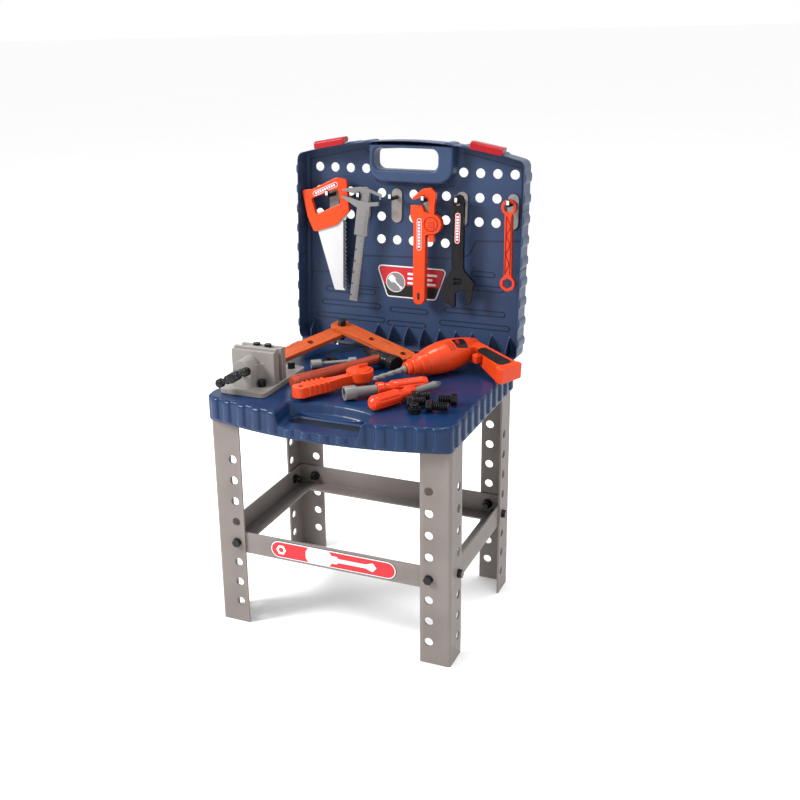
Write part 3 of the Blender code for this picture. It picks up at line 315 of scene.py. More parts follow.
def bulged_outline(half, flat, corner, middle, radius, count=10):
    """A rectangle with one straight side at flat and the opposite side bulging to middle."""
    ends = [(-half, flat), (half, flat), (half, corner), (-half, corner)]
    if flat > corner:
        ends = [(-half, corner), (half, corner), (half, flat), (-half, flat)]
    arc = front_arc(half, corner, middle, count)
    if flat > corner:
        corners = [ends[0], *arc, ends[1], ends[2], ends[3]]
        radii = [radius, *[0] * len(arc), radius, radius, radius]
    else:
        corners = [ends[0], ends[1], ends[2], *reversed(arc), ends[3]]
        radii = [radius, radius, radius, *[0] * len(arc), radius]
    return rounded(corners, radii)


def inset(outline, amount):
    """An anticlockwise outline moved inwards by amount."""
    moved = []
    for i, point in enumerate(outline):
        here = Vector(point)
        before = (here - Vector(outline[i - 1])).normalized()
        after = (Vector(outline[(i + 1) % len(outline)]) - here).normalized()
        inward = Vector((-before.y - after.y, before.x + after.x)).normalized()
        lean = max(0.5, inward.dot(Vector((-before.y, before.x))))
        moved.append(tuple(here + inward * (amount / lean)))
    return moved


def fluted(outline, pitch, width, depth, plain):
    """The outline with shallow flutes, except where plain(x, y) is true."""
    points = []
    for i, start in enumerate(outline):
        points.append(start)
        a = Vector(start)
        along = Vector(outline[(i + 1) % len(outline)]) - a
        length = along.length
        along.normalize()
        inward = Vector((-along.y, along.x))
        count = int(length / pitch + 0.35)
        for k in range(count):
            middle = a + along * (length * (k + 0.5) / count)
            if plain(middle.x, middle.y):
                continue
            for step in range(FLUTE_STEPS + 1):
                t = 2 * step / FLUTE_STEPS - 1
                sunk = math.sqrt(max(0.0, 1 - abs(t) ** 3))
                points.append(tuple(middle + along * (t * width / 2) + inward * depth * sunk))
    return points


# ---- solids -------------------------------------------------------------------------------
def prism(outline, low, high, holes=()):
    """A flat plate with that outline, from z = low to z = high, with holes right through."""
    flat = bmesh.new()
    edges = []
    for loop in (outline, *holes):
        verts = [flat.verts.new((x, y, 0)) for x, y in loop]
        edges += [flat.edges.new(pair) for pair in zip(verts, verts[1:] + verts[:1])]
    flat.verts.index_update()
    bmesh.ops.triangle_fill(flat, use_beauty=True, edges=edges, normal=(0, 0, 1))
    bm = bmesh.new()
    below = [bm.verts.new((v.co.x, v.co.y, low)) for v in flat.verts]
    above = [bm.verts.new((v.co.x, v.co.y, high)) for v in flat.verts]
    for face in flat.faces:
        corners = [v.index for v in face.verts]
        bm.faces.new([above[i] for i in corners])
        bm.faces.new([below[i] for i in reversed(corners)])
    for a, b in (tuple(v.index for v in edge.verts) for edge in edges):
        bm.faces.new((below[a], below[b], above[b], above[a]))
    flat.free()
    bmesh.ops.recalc_face_normals(bm, faces=bm.faces)
    return bm


def loft(rings):
    """A closed skin over rings of equally many points, capped at both ends."""
    bm = bmesh.new()
    rows = [[bm.verts.new(point) for point in ring] for ring in rings]
    for lower, upper in zip(rows, rows[1:]):
        for i in range(len(lower)):
            j = (i + 1) % len(lower)
            bm.faces.new((lower[i], lower[j], upper[j], upper[i]))
    bm.faces.new(reversed(rows[0]))
    bm.faces.new(rows[-1])
    bmesh.ops.recalc_face_normals(bm, faces=bm.faces)
    return bm


def quarter(steps):
    """Angles from nothing to a quarter turn."""
    return [math.pi / 2 * k / steps for k in range(steps + 1)]


def flared(outline, low, high, radius, beyond):
    """A cutter whose walls curve outwards where they come out at high."""
    up = 1 if high > low else -1
    rings = [[(x, y, low) for x, y in outline]]
    for a in quarter(6):
        wide = inset(outline, -radius * (1 - math.cos(a)) - 0.00001)
        z = high - up * radius * (1 - math.sin(a))
        rings.append([(x, y, z) for x, y in wide])
    rings.append([(x, y, beyond) for x, y, _ in rings[-1]])
    return loft(rings)


def lathe(profile, count=12):
    """A round solid about Z from (radius, z) pairs, capped flat at both ends."""
    return loft([[(x, y, z) for x, y in circle(0, 0, r, count)] for r, z in profile])


def rod(radius, low, high, count=12):
    """A plain round rod along Z."""
    return lathe([(radius, low), (radius, high)], count)


def hexagon(across, count=12):
    """A regular hexagon with that width across its flats, as count points."""
    count *= FINE
    per_side = count // 6
    corners = [
        Vector((math.cos(math.pi / 3 * k), math.sin(math.pi / 3 * k))) * across / math.sqrt(3)
        for k in range(7)
    ]
    return [
        tuple(corners[k].lerp(corners[k + 1], step / per_side))
        for k in range(6)
        for step in range(per_side)
    ]


def stacked(sections):
    """A fastener along Z from (z, shape, size): a hexagon across flats, or a round radius."""
    rings = []
    for z, shape, size in sections:
        flat = hexagon(size) if shape == "hex" else circle(0, 0, size, 12)
        if shape == "round":
            flat = flat[-1:] + flat[:-1]
        rings.append([(x, y, z) for x, y in flat])
    return loft(rings)


def slab(x0, x1, y0, y1, z0, z1):
    """A rectangular block."""
    return prism(rectangle(x0, x1, y0, y1), z0, z1)


QUARTER_X = Matrix.Rotation(math.pi / 2, 4, "X")
QUARTER_Y = Matrix.Rotation(math.pi / 2, 4, "Y")


def moved(bm, matrix):
    """The same mesh moved by a matrix."""
    bm.transform(matrix)
    return bm


def upright(bm):
    """Turns a solid built along Z so that it runs along depth (+Y) with its outline in XZ."""
    moved(bm, Matrix(((1, 0, 0, 0), (0, 0, 1, 0), (0, 1, 0, 0), (0, 0, 0, 1))))
    bmesh.ops.reverse_faces(bm, faces=bm.faces)  # the swap of axes turned them inside out
    return bm


def plate(outline, near, far, holes=()):
    """A plate whose outline is given as (x, height), between two depths along +Y."""
    return upright(prism(outline, near, far, holes))


def sidewise(outline, x0, x1):
    """A solid whose outline is given as (depth, height), between two places along X."""
    bm = prism(outline, x0, x1)
    return moved(bm, Matrix(((0, 0, 1, 0), (1, 0, 0, 0), (0, 1, 0, 0), (0, 0, 0, 1))))


# ---- colours ------------------------------------------------------------------------------
COLOURS = {  # colour, roughness, colour variation, grain size (per metre), grain depth, coat
    "bench_blue": ((0.004, 0.021, 0.070), 0.32, 0.10, 900, 0.08, 0.1),
    "lid_navy": ((0.028, 0.047, 0.100), 0.36, 0.06, 1100, 0.14, 0.0),
    # a darker navy that paints the shade along raised lines and ribs
    "lid_line": ((0.007, 0.013, 0.030), 0.36, 0.10, 900, 0.05, 0.0),
    # near-black blue for the slot's lining: painted shade inside the slot
    "slot_dark": ((0.002, 0.006, 0.018), 0.50, 0.10, 900, 0.05, 0.0),
    "leg_grey": ((0.165, 0.142, 0.132), 0.42, 0.07, 700, 0.10, 0.0),
    "bolt_black": ((0.006, 0.006, 0.007), 0.22, 0.15, 900, 0.06, 0.0),
    "hook_grey": ((0.260, 0.245, 0.230), 0.34, 0.08, 900, 0.08, 0.0),
    "latch_red": ((0.270, 0.003, 0.008), 0.26, 0.08, 900, 0.06, 0.1),
    "tool_orange": ((0.600, 0.046, 0.007), 0.28, 0.08, 900, 0.08, 0.1),
    # a darker orange that paints the shade of grooves and raised rings
    "orange_line": ((0.190, 0.010, 0.002), 0.30, 0.08, 900, 0.05, 0.0),
    "tool_red": ((0.660, 0.038, 0.006), 0.26, 0.10, 900, 0.06, 0.1),
    # a darker red that paints the shade of raised relief
    "red_line": ((0.130, 0.006, 0.002), 0.30, 0.08, 900, 0.05, 0.0),
    "saw_white": ((0.470, 0.470, 0.480), 0.34, 0.04, 600, 0.05, 0.0),
    "tool_silver": ((0.165, 0.160, 0.158), 0.34, 0.10, 900, 0.10, 0.0),
    "tool_black": ((0.009, 0.008, 0.009), 0.20, 0.15, 900, 0.08, 0.0),
    "rod_grey": ((0.045, 0.045, 0.047), 0.30, 0.10, 900, 0.04, 0.0),
    "vise_grey": ((0.215, 0.198, 0.185), 0.38, 0.08, 800, 0.12, 0.0),
    "tooth_dark": ((0.030, 0.030, 0.034), 0.40, 0.05, 600, 0.05, 0.0),
}
LABELS = {"label_white": (0.62, 0.62, 0.62), "label_red": (0.42, 0.008, 0.016),
          "label_black": (0.006, 0.006, 0.007), "label_grey": (0.17, 0.17, 0.18)}
WOODS = {  # pale and dark grain, and the axis it runs along
    "wood_orange": ((0.42, 0.075, 0.018), (0.24, 0.037, 0.010), "X"),
    "wood_handle": ((0.29, 0.042, 0.016), (0.15, 0.018, 0.008), "Z"),
}
BEVELS = {"saw_blade": 0.0003, "plank_upper": 0.0009, "plank_lower": 0.0009, "hinge_rod": 0.0002,
          "adjustable_wrench_worm": 0.0002}
BEVEL = 0.0005
MELTS = {  # voxel size, rounds of smoothing, share of the faces kept
    "bench_top": (0.0010, 4, 0.15), "lid_panel": (0.0010, 3, 0.15), "drill_body": (0.0007, 12, 0.20),
    "saw_handle": (0.0006, 7, 0.20), "pipe_wrench_body": (0.0006, 6, 0.20),
    "pipe_wrench_jaw": (0.0005, 6, 0.25), "adjustable_wrench_body": (0.0006, 5, 0.25),
    "adjustable_wrench_jaw": (0.0005, 4, 0.30), "box_wrench": (0.0005, 2, 0.25),
    "hammer_head": (0.0006, 7, 0.25), "hammer_handle": (0.0007, 5, 0.25), "ratchet_body": (0.0005, 5, 0.20),
    "nut_driver_handle": (0.0005, 3, 0.25), "screwdriver_handle": (0.0005, 3, 0.25),
    "caliper_slider": (0.0004, 3, 0.20), "caliper_beam": (0.0004, 3, 0.20), "vise_base": (0.0006, 2, 0.20),
    "vise_jaw": (0.0006, 2, 0.20), "vise_screw": (0.0005, 3, 0.25), "drill_trigger": (0.0004, 10, 0.3),
    "latch_left": (0.0006, 4, 0.25), "latch_right": (0.0006, 4, 0.25),
    **{f"hook_{k}": (0.0005, 3, 0.30) for k in range(1, 7)},
}
SHEEN = 0.20  # share of the shader's full specular level


def shaded(name):
    """A node material with its Principled shader, texture coordinates and linking function."""
    made = bpy.data.materials.new(f"look_{name}")
    made.use_nodes = True
    nodes = made.node_tree.nodes
    where = nodes.new("ShaderNodeTexCoord").outputs["Object"]
    return made, nodes, made.node_tree.links.new, nodes["Principled BSDF"], where


def noise(nodes, link, where, scale, detail=3.0):
    """A cloudy value between 0 and 1."""
    texture = nodes.new("ShaderNodeTexNoise")
    texture.inputs["Scale"].default_value = scale
    texture.inputs["Detail"].default_value = detail
    link(where, texture.inputs["Vector"])
    return texture.outputs["Fac"]


def ramp(nodes, link, value, stops):
    """A value turned into a colour by (position, colour) stops."""
    made = nodes.new("ShaderNodeValToRGB")
    elements = made.color_ramp.elements
    while len(elements) < len(stops):
        elements.new(0.5)
    for element, (at, colour) in zip(elements, stops):
        element.position = at
        element.color = (*colour, 1.0)
    link(value, made.inputs["Fac"])
    return made.outputs["Color"]


def grained(nodes, link, where, shader, scale, depth):
    """The fine skin of moulded plastic."""
    bump = nodes.new("ShaderNodeBump")
    bump.inputs["Strength"].default_value = depth
    bump.inputs["Distance"].default_value = 0.0006
    link(noise(nodes, link, where, scale, 2.0), bump.inputs["Height"])
    link(bump.outputs["Normal"], shader.inputs["Normal"])


def varied_roughness(nodes, link, where, shader, roughness):
    """A sheen that changes a little from place to place."""
    spread = nodes.new("ShaderNodeMapRange")
    spread.inputs["To Min"].default_value = roughness - 0.07
    spread.inputs["To Max"].default_value = roughness + 0.07
    link(noise(nodes, link, where, 45.0), spread.inputs["Value"])
    link(spread.outputs["Result"], shader.inputs["Roughness"])


def plastic(name, colour, roughness, variation, scale, depth, coat):
    """Moulded plastic: cloudy colour, paler along sharp edges as a painted highlight, with a fine skin."""
    made, nodes, link, shader, where = shaded(name)
    dark = tuple(c * (1 - variation) for c in colour)
    light = tuple(min(1.0, c * (1 + variation)) for c in colour)
    cloud = ramp(nodes, link, noise(nodes, link, where, 18.0), [(0.35, dark), (0.65, light)])
    # a paler colour on sharp edges, a painted highlight
    edge_highlight = tuple(min(1.0, c * 1.25 + 0.02) for c in colour)
    edge = nodes.new("ShaderNodeNewGeometry").outputs["Pointiness"]
    highlight_mask = ramp(nodes, link, edge, [(0.52, (0, 0, 0)), (0.62, (0.6, 0.6, 0.6))])
    mix = nodes.new("ShaderNodeMix")
    mix.data_type = "RGBA"
    link(highlight_mask, mix.inputs[0])
    link(cloud, mix.inputs[6])
    mix.inputs[7].default_value = (*edge_highlight, 1.0)
    link(mix.outputs[2], shader.inputs["Base Color"])
    varied_roughness(nodes, link, where, shader, roughness)
    grained(nodes, link, where, shader, scale, depth)
    shader.inputs["Specular IOR Level"].default_value = SHEEN
    shader.inputs["Coat Weight"].default_value = coat
    shader.inputs["Coat Roughness"].default_value = 0.15
    return made


def wood(name, light, dark, axis):
    """Printed wood grain on plastic, its lines running along one axis of the piece."""
    made, nodes, link, shader, where = shaded(name)
    stretch = nodes.new("ShaderNodeMapping")
    scale = {"X": (0.06, 1.0, 1.0), "Z": (1.0, 1.0, 0.06)}[axis]
    stretch.inputs["Scale"].default_value = scale
    link(where, stretch.inputs["Vector"])
    lines = noise(nodes, link, stretch.outputs["Vector"], 420.0, 6.0)
    colour = ramp(nodes, link, lines, [(0.30, dark), (0.48, light), (0.60, light), (0.75, dark)])
    link(colour, shader.inputs["Base Color"])
    varied_roughness(nodes, link, where, shader, 0.40)
    shader.inputs["Specular IOR Level"].default_value = SHEEN
    bump = nodes.new("ShaderNodeBump")
    bump.inputs["Strength"].default_value = 0.25
    bump.inputs["Distance"].default_value = 0.0004
    link(lines, bump.inputs["Height"])
    link(bump.outputs["Normal"], shader.inputs["Normal"])
    return made


def make_materials():
    """Every colour's material by its name."""
    found = {name: plastic(name, *values) for name, values in COLOURS.items()}
    found.update({name: plastic(name, colour, 0.30, 0.03, 300, 0.03, 0.2) for name, colour in LABELS.items()})
    found.update({name: wood(name, *values) for name, values in WOODS.items()})
    return found


MATERIALS = make_materials()
LOOKS = {}


# ---- objects ------------------------------------------------------------------------------
def as_mesh(bm, name):
    """The solid as mesh data, its round sides shaded smooth and its edges sharp."""
    mesh = bpy.data.meshes.new(name)
    bm.to_mesh(mesh)
    bm.free()
    mesh.shade_smooth()
    mesh.set_sharp_from_angle(angle=math.radians(35))
    return mesh


def add(name, bm, colour, parent, place=None):
    """One named piece under a parent frame."""
    obj = bpy.data.objects.new(f"{name}_look", as_mesh(bm, name))
    bpy.context.scene.collection.objects.link(obj)
    obj.data.materials.append(MATERIALS[colour])
    obj.parent = parent
    obj.matrix_basis = place or Matrix.Identity(4)
    LOOKS[name] = obj
    return obj


def detail(name, bm, colour, parent, body, place=None, bevel=0.0002):
    """A visible piece that has no CAD node of its own."""
    obj = add(name, bm, colour, parent, place)
    BODY_OF[name] = body
    BEVELS[name] = bevel
    return obj


def hidden(obj, bm):
    """A helper object with that shape, in the same place as obj and never seen."""
    helper = bpy.data.objects.new(f"{obj.name}_{len(obj.modifiers)}", as_mesh(bm, "helper"))
    bpy.context.scene.collection.objects.link(helper)
    helper.parent = obj.parent
    helper.matrix_basis = obj.matrix_basis.copy()
    helper.hide_render = True
    return helper


def combine(obj, helper, operation):
    """Joins, cuts or intersects an object with a helper by a Boolean."""
    modifier = obj.modifiers.new(operation.title(), "BOOLEAN")
    modifier.operation = operation
    modifier.solver = "EXACT"
    modifier.object = helper


def cut(obj, *shapes):
    """Cuts the shapes out of a piece."""
    for shape in shapes:
        combine(obj, hidden(obj, shape), "DIFFERENCE")


def join(obj, *shapes):
    """Joins the shapes to a piece."""
    for shape in shapes:
        combine(obj, hidden(obj, shape), "UNION")


def gathered(shapes):
    """Several separate solids in one mesh, to cut or join them in one go."""
    whole = bmesh.new()
    for shape in shapes:
        mesh = bpy.data.meshes.new("gathered")
        shape.to_mesh(mesh)
        shape.free()
        whole.from_mesh(mesh)
        bpy.data.meshes.remove(mesh)
    return whole


def group(name, matrix, parent=None):
    """An empty that a group of pieces is placed in."""
    empty = bpy.data.objects.new(name, None)
    bpy.context.scene.collection.objects.link(empty)
    empty.parent = parent
    empty.matrix_basis = matrix
    return empty


def lying(x, y, z, angle, roll=0.0):
    """Places a solid built along Z lying on the table, pointing at angle from +X."""
    turn = Matrix.Rotation(angle, 4, "Z")
    return Matrix.Translation((x, y, z)) @ turn @ QUARTER_Y @ Matrix.Rotation(roll, 4, "Z")


# ---- table top ----------------------------------------------------------------------------
def bench_ring(amount, z, depth=0.0):
    """The table's outline at one height, inset by amount, its front and sides fluted that deep."""
    half = BENCH_HALF - FLUTE_DEPTH
    outline = bulged_outline(half, REAR_EDGE, FRONT_CORNER, FRONT_MIDDLE, CORNER_RADIUS, ARC_STEPS)
    outline = inset(outline, amount)
    outline = fluted(outline, FLUTE_PITCH, FLUTE_WIDTH, -depth, lambda x, y: y > REAR_EDGE - 0.005)
    return [(x, y, z) for x, y in outline]


def recess_profile(grow):
    """Shares of the hollow's height with how far its wall stands out there."""
    if grow:
        return [(0.0, 0.0), (1.0, 0.0)]
    floor = [(0.18 * math.sin(a), -0.0040 * (1 - math.sin(a)) ** 2) for a in quarter(5)]
    lip = [(1 - 0.22 * math.cos(a), 0.0055 * (1 - math.cos(math.asin(1 - math.cos(a)))))
           for a in quarter(6)]
    return floor + lip


def recess_shape(grow):
    """The hollow in front of the carrying slot: steep at the back and sides, open in front."""
    rings = []
    height = TABLE_TOP - RECESS_FLOOR
    profile = recess_profile(grow)
    for number, (share, spread) in enumerate(profile):
        z = RECESS_FLOOR + share * height
        if number == 0:
            z -= grow
        if number == len(profile) - 1:
            z += 0.001
        half = RECESS_HALF - 0.004 * (1 - share) + grow + spread
        ends = RECESS_BACK - 0.015 - 0.004 * (1 - share) + grow + spread
        middle = RECESS_BACK - 0.008 * (1 - share) + grow + spread
        arc = front_arc(half, ends, middle, 8)
        ring = [(-half, -0.25), (half, -0.25), (half, ends), *reversed(arc), (-half, ends)]
        if not grow:
            ring = rounded(ring, [0, 0, 0.007, *[0] * len(arc), 0.007])
        tilt = RECESS_SLOPE * (1 - share)
        rings.append([(RECESS_X + x, y, z + tilt * (y - RECESS_LEVEL)) for x, y in ring])
    return loft(rings)


def slot_outline():
    """The carrying slot in the hollow's floor."""
    return rounded(rectangle(RECESS_X - SLOT_HALF, RECESS_X + SLOT_HALF, SLOT_FRONT, SLOT_BACK), 0.011)


def hinge_rod(middle, radius, half):
    """A rod along the hinge line, built in the bench frame."""
    return moved(rod(radius, -half, half, 8), Matrix.Translation((middle, HINGE_Y, HINGE_Z)) @ QUARTER_Y)


def hinge_barrel(middle, width):
    """One knuckle of the hinge."""
    return hinge_rod(middle, HINGE_KNUCKLE, width / 2)


def hinge_bore():
    """The hole for the hinge's rod, right through every knuckle."""
    return hinge_rod(0, HINGE_PIN + GAP, 0.2)


def build_bench_top(bench):
    """The table tray: a fluted shell with its hollow, carrying slot, leg sockets and knuckles."""
    lip = SKIRT_BOTTOM + 0.004
    shoulder = TABLE_TOP - 0.006
    rings = [
        bench_ring(SKIRT_INSET, SKIRT_BOTTOM),
        bench_ring(SKIRT_INSET, lip),
        bench_ring(SKIRT_INSET, lip + 0.001, FLUTE_DEPTH + SKIRT_INSET),
        *[bench_ring(SKIRT_INSET + 0.0030 * (1 - math.cos(a)), shoulder + 0.006 * math.sin(a),
                     (FLUTE_DEPTH + SKIRT_INSET) * math.cos(a)) for a in quarter(6)],
    ]
    top = add("bench_top", loft(rings), "bench_blue", bench)
    skirt = 0.0048  # thickness of the skirt in front, with its flutes
    inner = bulged_outline(LEG_HALF_X + 0.0006, 0.1605, FRONT_CORNER + skirt, FRONT_MIDDLE + skirt, 0.0056,
                           ARC_STEPS)
    hollow = hidden(top, prism(inner, SKIRT_BOTTOM - 0.01, TABLE_TOP - WALL))
    cut(hollow, recess_shape(WALL))
    combine(top, hollow, "DIFFERENCE")
    cut(top, recess_shape(0.0))
    join(top, prism(inset(slot_outline(), -SLOT_WALL), SKIRT_BOTTOM + 0.002, RECESS_FLOOR + 0.0004))
    cut(top, flared(slot_outline(), SKIRT_BOTTOM, RECESS_FLOOR, SLOT_LIP, TABLE_TOP))
    join(top, gathered([leg_socket(sx, sy) for sx in (-1, 1) for sy in (-1, 1)]))
    ends = [x + side * HINGE_OFFSET for x in HINGE_PLACES for side in (-1, 1)]
    half = HINGE_END / 2 - 0.0003
    join(top, gathered([slab(x - half, x + half, 0.1620, 0.1675, 0.3890, 0.3940) for x in ends]))
    join(top, gathered([hinge_barrel(x, HINGE_END) for x in ends]))
    cut(top, hinge_bore())


def corner_place(sx, sy):
    """The outer corner of a leg."""
    return sx * LEG_HALF_X, LEG_FRONT if sy < 0 else LEG_REAR


def angle_outline(sx, sy, offset, length, wall):
    """An L along the inside of a corner, its outer faces offset inwards from the corner."""
    cx, cy = corner_place(sx, sy)
    points = [(0, 0), (length, 0), (length, wall), (wall, wall), (wall, length), (0, length)]
    if offset == 0:
        points = rounded(points, [LEG_CORNER_RADIUS, 0, 0, 0, 0, 0])
    outline = [(cx - sx * (offset + u), cy - sy * (offset + v)) for u, v in points]
    return outline if sx * sy > 0 else list(reversed(outline))


def leg_socket(sx, sy):
    """The rib that holds a leg's top from inside."""
    return prism(angle_outline(sx, sy, LEG_WALL + GAP, 0.030, 0.002), 0.366, TABLE_TOP - WALL + 0.001)


def leg_drill():
    """A cutter for one hole in a leg or rail."""
    return rod(LEG_HOLE_RADIUS, -0.01, 0.01, 8)


def build_leg(name, sx, sy, bench):
    """One angle leg with a row of holes down each flange."""
    outline = angle_outline(sx, sy, 0.0, LEG_FLANGE, LEG_WALL)
    leg = add(name, prism(outline, 0.0, TABLE_TOP - WALL - GAP), "leg_grey", bench)
    cx, cy = corner_place(sx, sy)
    drills = []
    for z in (LEG_FIRST_HOLE + LEG_HOLE_STEP * k for k in range(LEG_HOLES)):
        place = Matrix.Translation((cx - sx * LEG_HOLE_INSET, cy, z))
        drills.append(moved(leg_drill(), place @ QUARTER_X))
        place = Matrix.Translation((cx, cy - sy * LEG_HOLE_INSET, z))
        drills.append(moved(leg_drill(), place @ QUARTER_Y))
    cut(leg, gathered(drills))


def build_legs(bench):
    """The four legs."""
    for sy, row in ((-1, "front"), (1, "rear")):
        for sx, side in ((-1, "left"), (1, "right")):
            build_leg(f"leg_{row}_{side}", sx, sy, bench)


# ---- rails and their bolts ----------------------------------------------------------------
def rail_section(length, shelf_length):
    """An angle rail along X: a web standing at y = 0 and a shelf running towards +y."""
    low = -RAIL_HEIGHT / 2
    web = plate(rectangle(-length / 2, length / 2, low, -low), 0, RAIL_WALL)
    shelf = slab(-shelf_length / 2, shelf_length / 2, 0.001, RAIL_HEIGHT - 0.004, low, low + RAIL_WALL)
    return web, shelf


def bolt_and_nut():
    """A hex bolt along +Z from under its head at 0, with its flanged nut screwed on."""
    grip = LEG_WALL + RAIL_WALL + GAP * 3
    return stacked([
        (-0.0062, "hex", 0.0125), (-0.0002, "hex", 0.0135), (0.0, "round", 0.0050),
        (grip - 0.0002, "round", 0.0050), (grip, "round", 0.0085), (grip + 0.0020, "round", 0.0085),
        (grip + 0.0022, "hex", 0.0130), (grip + 0.0075, "hex", 0.0130),
        (grip + 0.0077, "round", 0.0050), (grip + 0.0130, "round", 0.0046),
    ])


def nutted(face, bottom, tail):
    """A shank going down from a head at 0, its round nut from face to bottom, and its tail."""
    end = bottom - 0.0002
    return [(0.0003, "round", 0.0050), (face + 0.0002, "round", 0.0050), (face, "round", 0.0080),
            (bottom, "round", 0.0080), (end, "round", 0.0050), (end - tail, "round", 0.0046)]


def build_rails(bench):
    """The four rails: front and rear ones between the legs, and side ones between those."""
    y_middle = (LEG_FRONT + LEG_REAR) / 2
    long_rail = 2 * (LEG_HALF_X - LEG_WALL - 0.001)
    inner_front = LEG_FRONT + LEG_WALL + GAP
    inner_rear = LEG_REAR - LEG_WALL - GAP
    inner_side = LEG_HALF_X - LEG_WALL - GAP
    long_shelf = 2 * (inner_side - RAIL_WALL - 2 * GAP)
    side_rail = inner_rear - inner_front - 2 * (RAIL_WALL + GAP)
    side_shelf = side_rail - 2 * (RAIL_HEIGHT - 0.006)
    places = {
        "rail_front": (0, inner_front, 0, long_rail, long_shelf),
        "rail_rear": (0, inner_rear, 180, long_rail, long_shelf),
        "rail_left": (-inner_side, y_middle, -90, side_rail, side_shelf),
        "rail_right": (inner_side, y_middle, 90, side_rail, side_shelf),
    }
    for name, (x, y, turn, length, shelf_length) in places.items():
        web, shelf = rail_section(length, shelf_length)
        place = Matrix.Translation((x, y, RAIL_Z)) @ Matrix.Rotation(math.radians(turn), 4, "Z")
        rail = add(name, web, "leg_grey", bench, place)
        join(rail, shelf)
        ends = (LEG_REAR - LEG_FRONT) / 2 if abs(turn) == 90 else LEG_HALF_X
        ends -= LEG_HOLE_INSET
        drills = [moved(leg_drill(), Matrix.Translation((x, 0, 0)) @ QUARTER_X) for x in (-ends, ends)]
        cut(rail, gathered(drills))


def build_rail_bolts(bench):
    """Two bolts at each corner, one through each flange of the leg."""
    for sy, row in ((-1, "front"), (1, "rear")):
        for sx, side in ((-1, "left"), (1, "right")):
            cx, cy = corner_place(sx, sy)
            along = Matrix.Rotation(-sy * math.pi / 2, 4, "X") @ Matrix.Rotation(math.pi, 4, "X")
            place = Matrix.Translation((cx - sx * LEG_HOLE_INSET, cy + sy * GAP, RAIL_Z)) @ along
            add(f"rail_bolt_{row}_{side}", bolt_and_nut(), "bolt_black", bench, place)
            along = Matrix.Rotation(-sx * math.pi / 2, 4, "Y")
            place = Matrix.Translation((cx + sx * GAP, cy - sy * LEG_HOLE_INSET, RAIL_Z)) @ along
            add(f"rail_bolt_side_{row}_{side}", bolt_and_nut(), "bolt_black", bench, place)


# ---- lid ----------------------------------------------------------------------------------
def lid_outline():
    """The lid's outline without its flutes."""
    return bulged_outline(LID_HALF - LID_FLUTE, LID_LOW, LID_CORNER, LID_MIDDLE, CORNER_RADIUS, ARC_STEPS)


def peg_holes():
    """Places of the peg board's holes, as (x, height)."""
    places = []
    for row, height in enumerate(PEG_ROWS):
        for column in range(-6, 7):
            if row == 0 and abs(column) < 3:
                continue
            if row == 3 and abs(column) > 2:
                continue
            places.append((column * PEG_PITCH, height))
    return places


def fin(x):
    """A small upright rib that keeps a tool in its place when the case is shut."""
    board = LID_PANEL / MM
    outline = mm((board + 1, 2.5), (board - 24, 2.5), (board - 23, 16), (board - 12, 27), (board + 1, 34))
    return sidewise(outline, x - 0.001, x + 0.001)


def boss_shape(outline):
    """The raised frame around the handle opening, hollowed into the board and rounded in front."""
    flare = 0.0080
    foot = [(LID_PANEL - flare * math.sin(a), flare * (1 - math.sin(a)) ** 2) for a in quarter(5)]
    front = [(0.0125 - 0.0045 * math.sin(a), -0.0008 - 0.0040 * (1 - math.cos(a))) for a in quarter(5)]
    rings = []
    for depth, spread in [(LID_PANEL + 0.001, flare), *foot, *front]:
        rings.append([(x, min(h, BOSS[3]), depth) for x, h in inset(outline, -spread)])
    return upright(loft(rings))


def build_lid(lid):
    """The lid: a fluted tray standing on its hinge, its floor pierced as a peg board."""
    ribbed = fluted(lid_outline(), LID_FLUTE_PITCH, LID_FLUTE_WIDTH, -LID_FLUTE,
                    lambda x, h: h < 0.01 or abs(x) < 0.06)
    body = add("lid_panel", plate(ribbed, 0.0, LID_DEPTH), "lid_navy", lid)
    cut(body, plate(inset(lid_outline(), LID_WALL), -0.01, LID_PANEL))
    join(body, boss_shape(rounded(rectangle(*BOSS), [0.028, 0.028, 0, 0], 6)))
    join(body, gathered([fin(x) for x in FIN_PLACES]))
    handle = rounded(rectangle(HANDLE_LEFT, HANDLE_RIGHT, HANDLE_LOW, HANDLE_HIGH), 0.012)
    cuts = [plate(circle(x, h, PEG_HOLE_RADIUS, 8), 0.024, 0.045) for x, h in peg_holes()]
    cut(body, gathered([*cuts, upright(flared(handle, 0.05, 0.008, 0.0035, -0.01))]))
    # A notch clears the table's knuckles, and the lid's own ones stand in it.
    reach = HINGE_PLACES[-1] + HINGE_OFFSET + HINGE_END / 2 + 0.0006
    cut(body, slab(-reach, reach, -0.002, 0.0056, -0.004, 0.0058))
    half = HINGE_WIDTH / 2 - 0.0004
    join(body, gathered([slab(x - half, x + half, 0.0010, 0.0075, 0.0012, 0.0042) for x in HINGE_PLACES]))
    into_lid = lid.matrix_basis.inverted()
    join(body, gathered([moved(hinge_barrel(x, HINGE_WIDTH), into_lid) for x in HINGE_PLACES]))
    cut(body, moved(hinge_bore(), into_lid))
    # Two ears with a bore hold each latch's pin.
    ears = []
    bores = []
    for centre in LATCH_CENTRES:
        place = latch_frame(centre)
        for side in (-1, 1):
            ear = sidewise(mm((-3.4, -6.0), (3.4, -6.0), (3.4, 0), (0, 3.4), (-3.4, 0)), -0.002, 0.002)
            ears.append(moved(ear, place @ Matrix.Translation((side * 0.0145, 0, 0))))
        bores.append(moved(rod(LATCH_PIN + GAP, -0.019, 0.019, 8), place @ QUARTER_Y))
    join(body, gathered(ears))
    cut(body, gathered(bores))


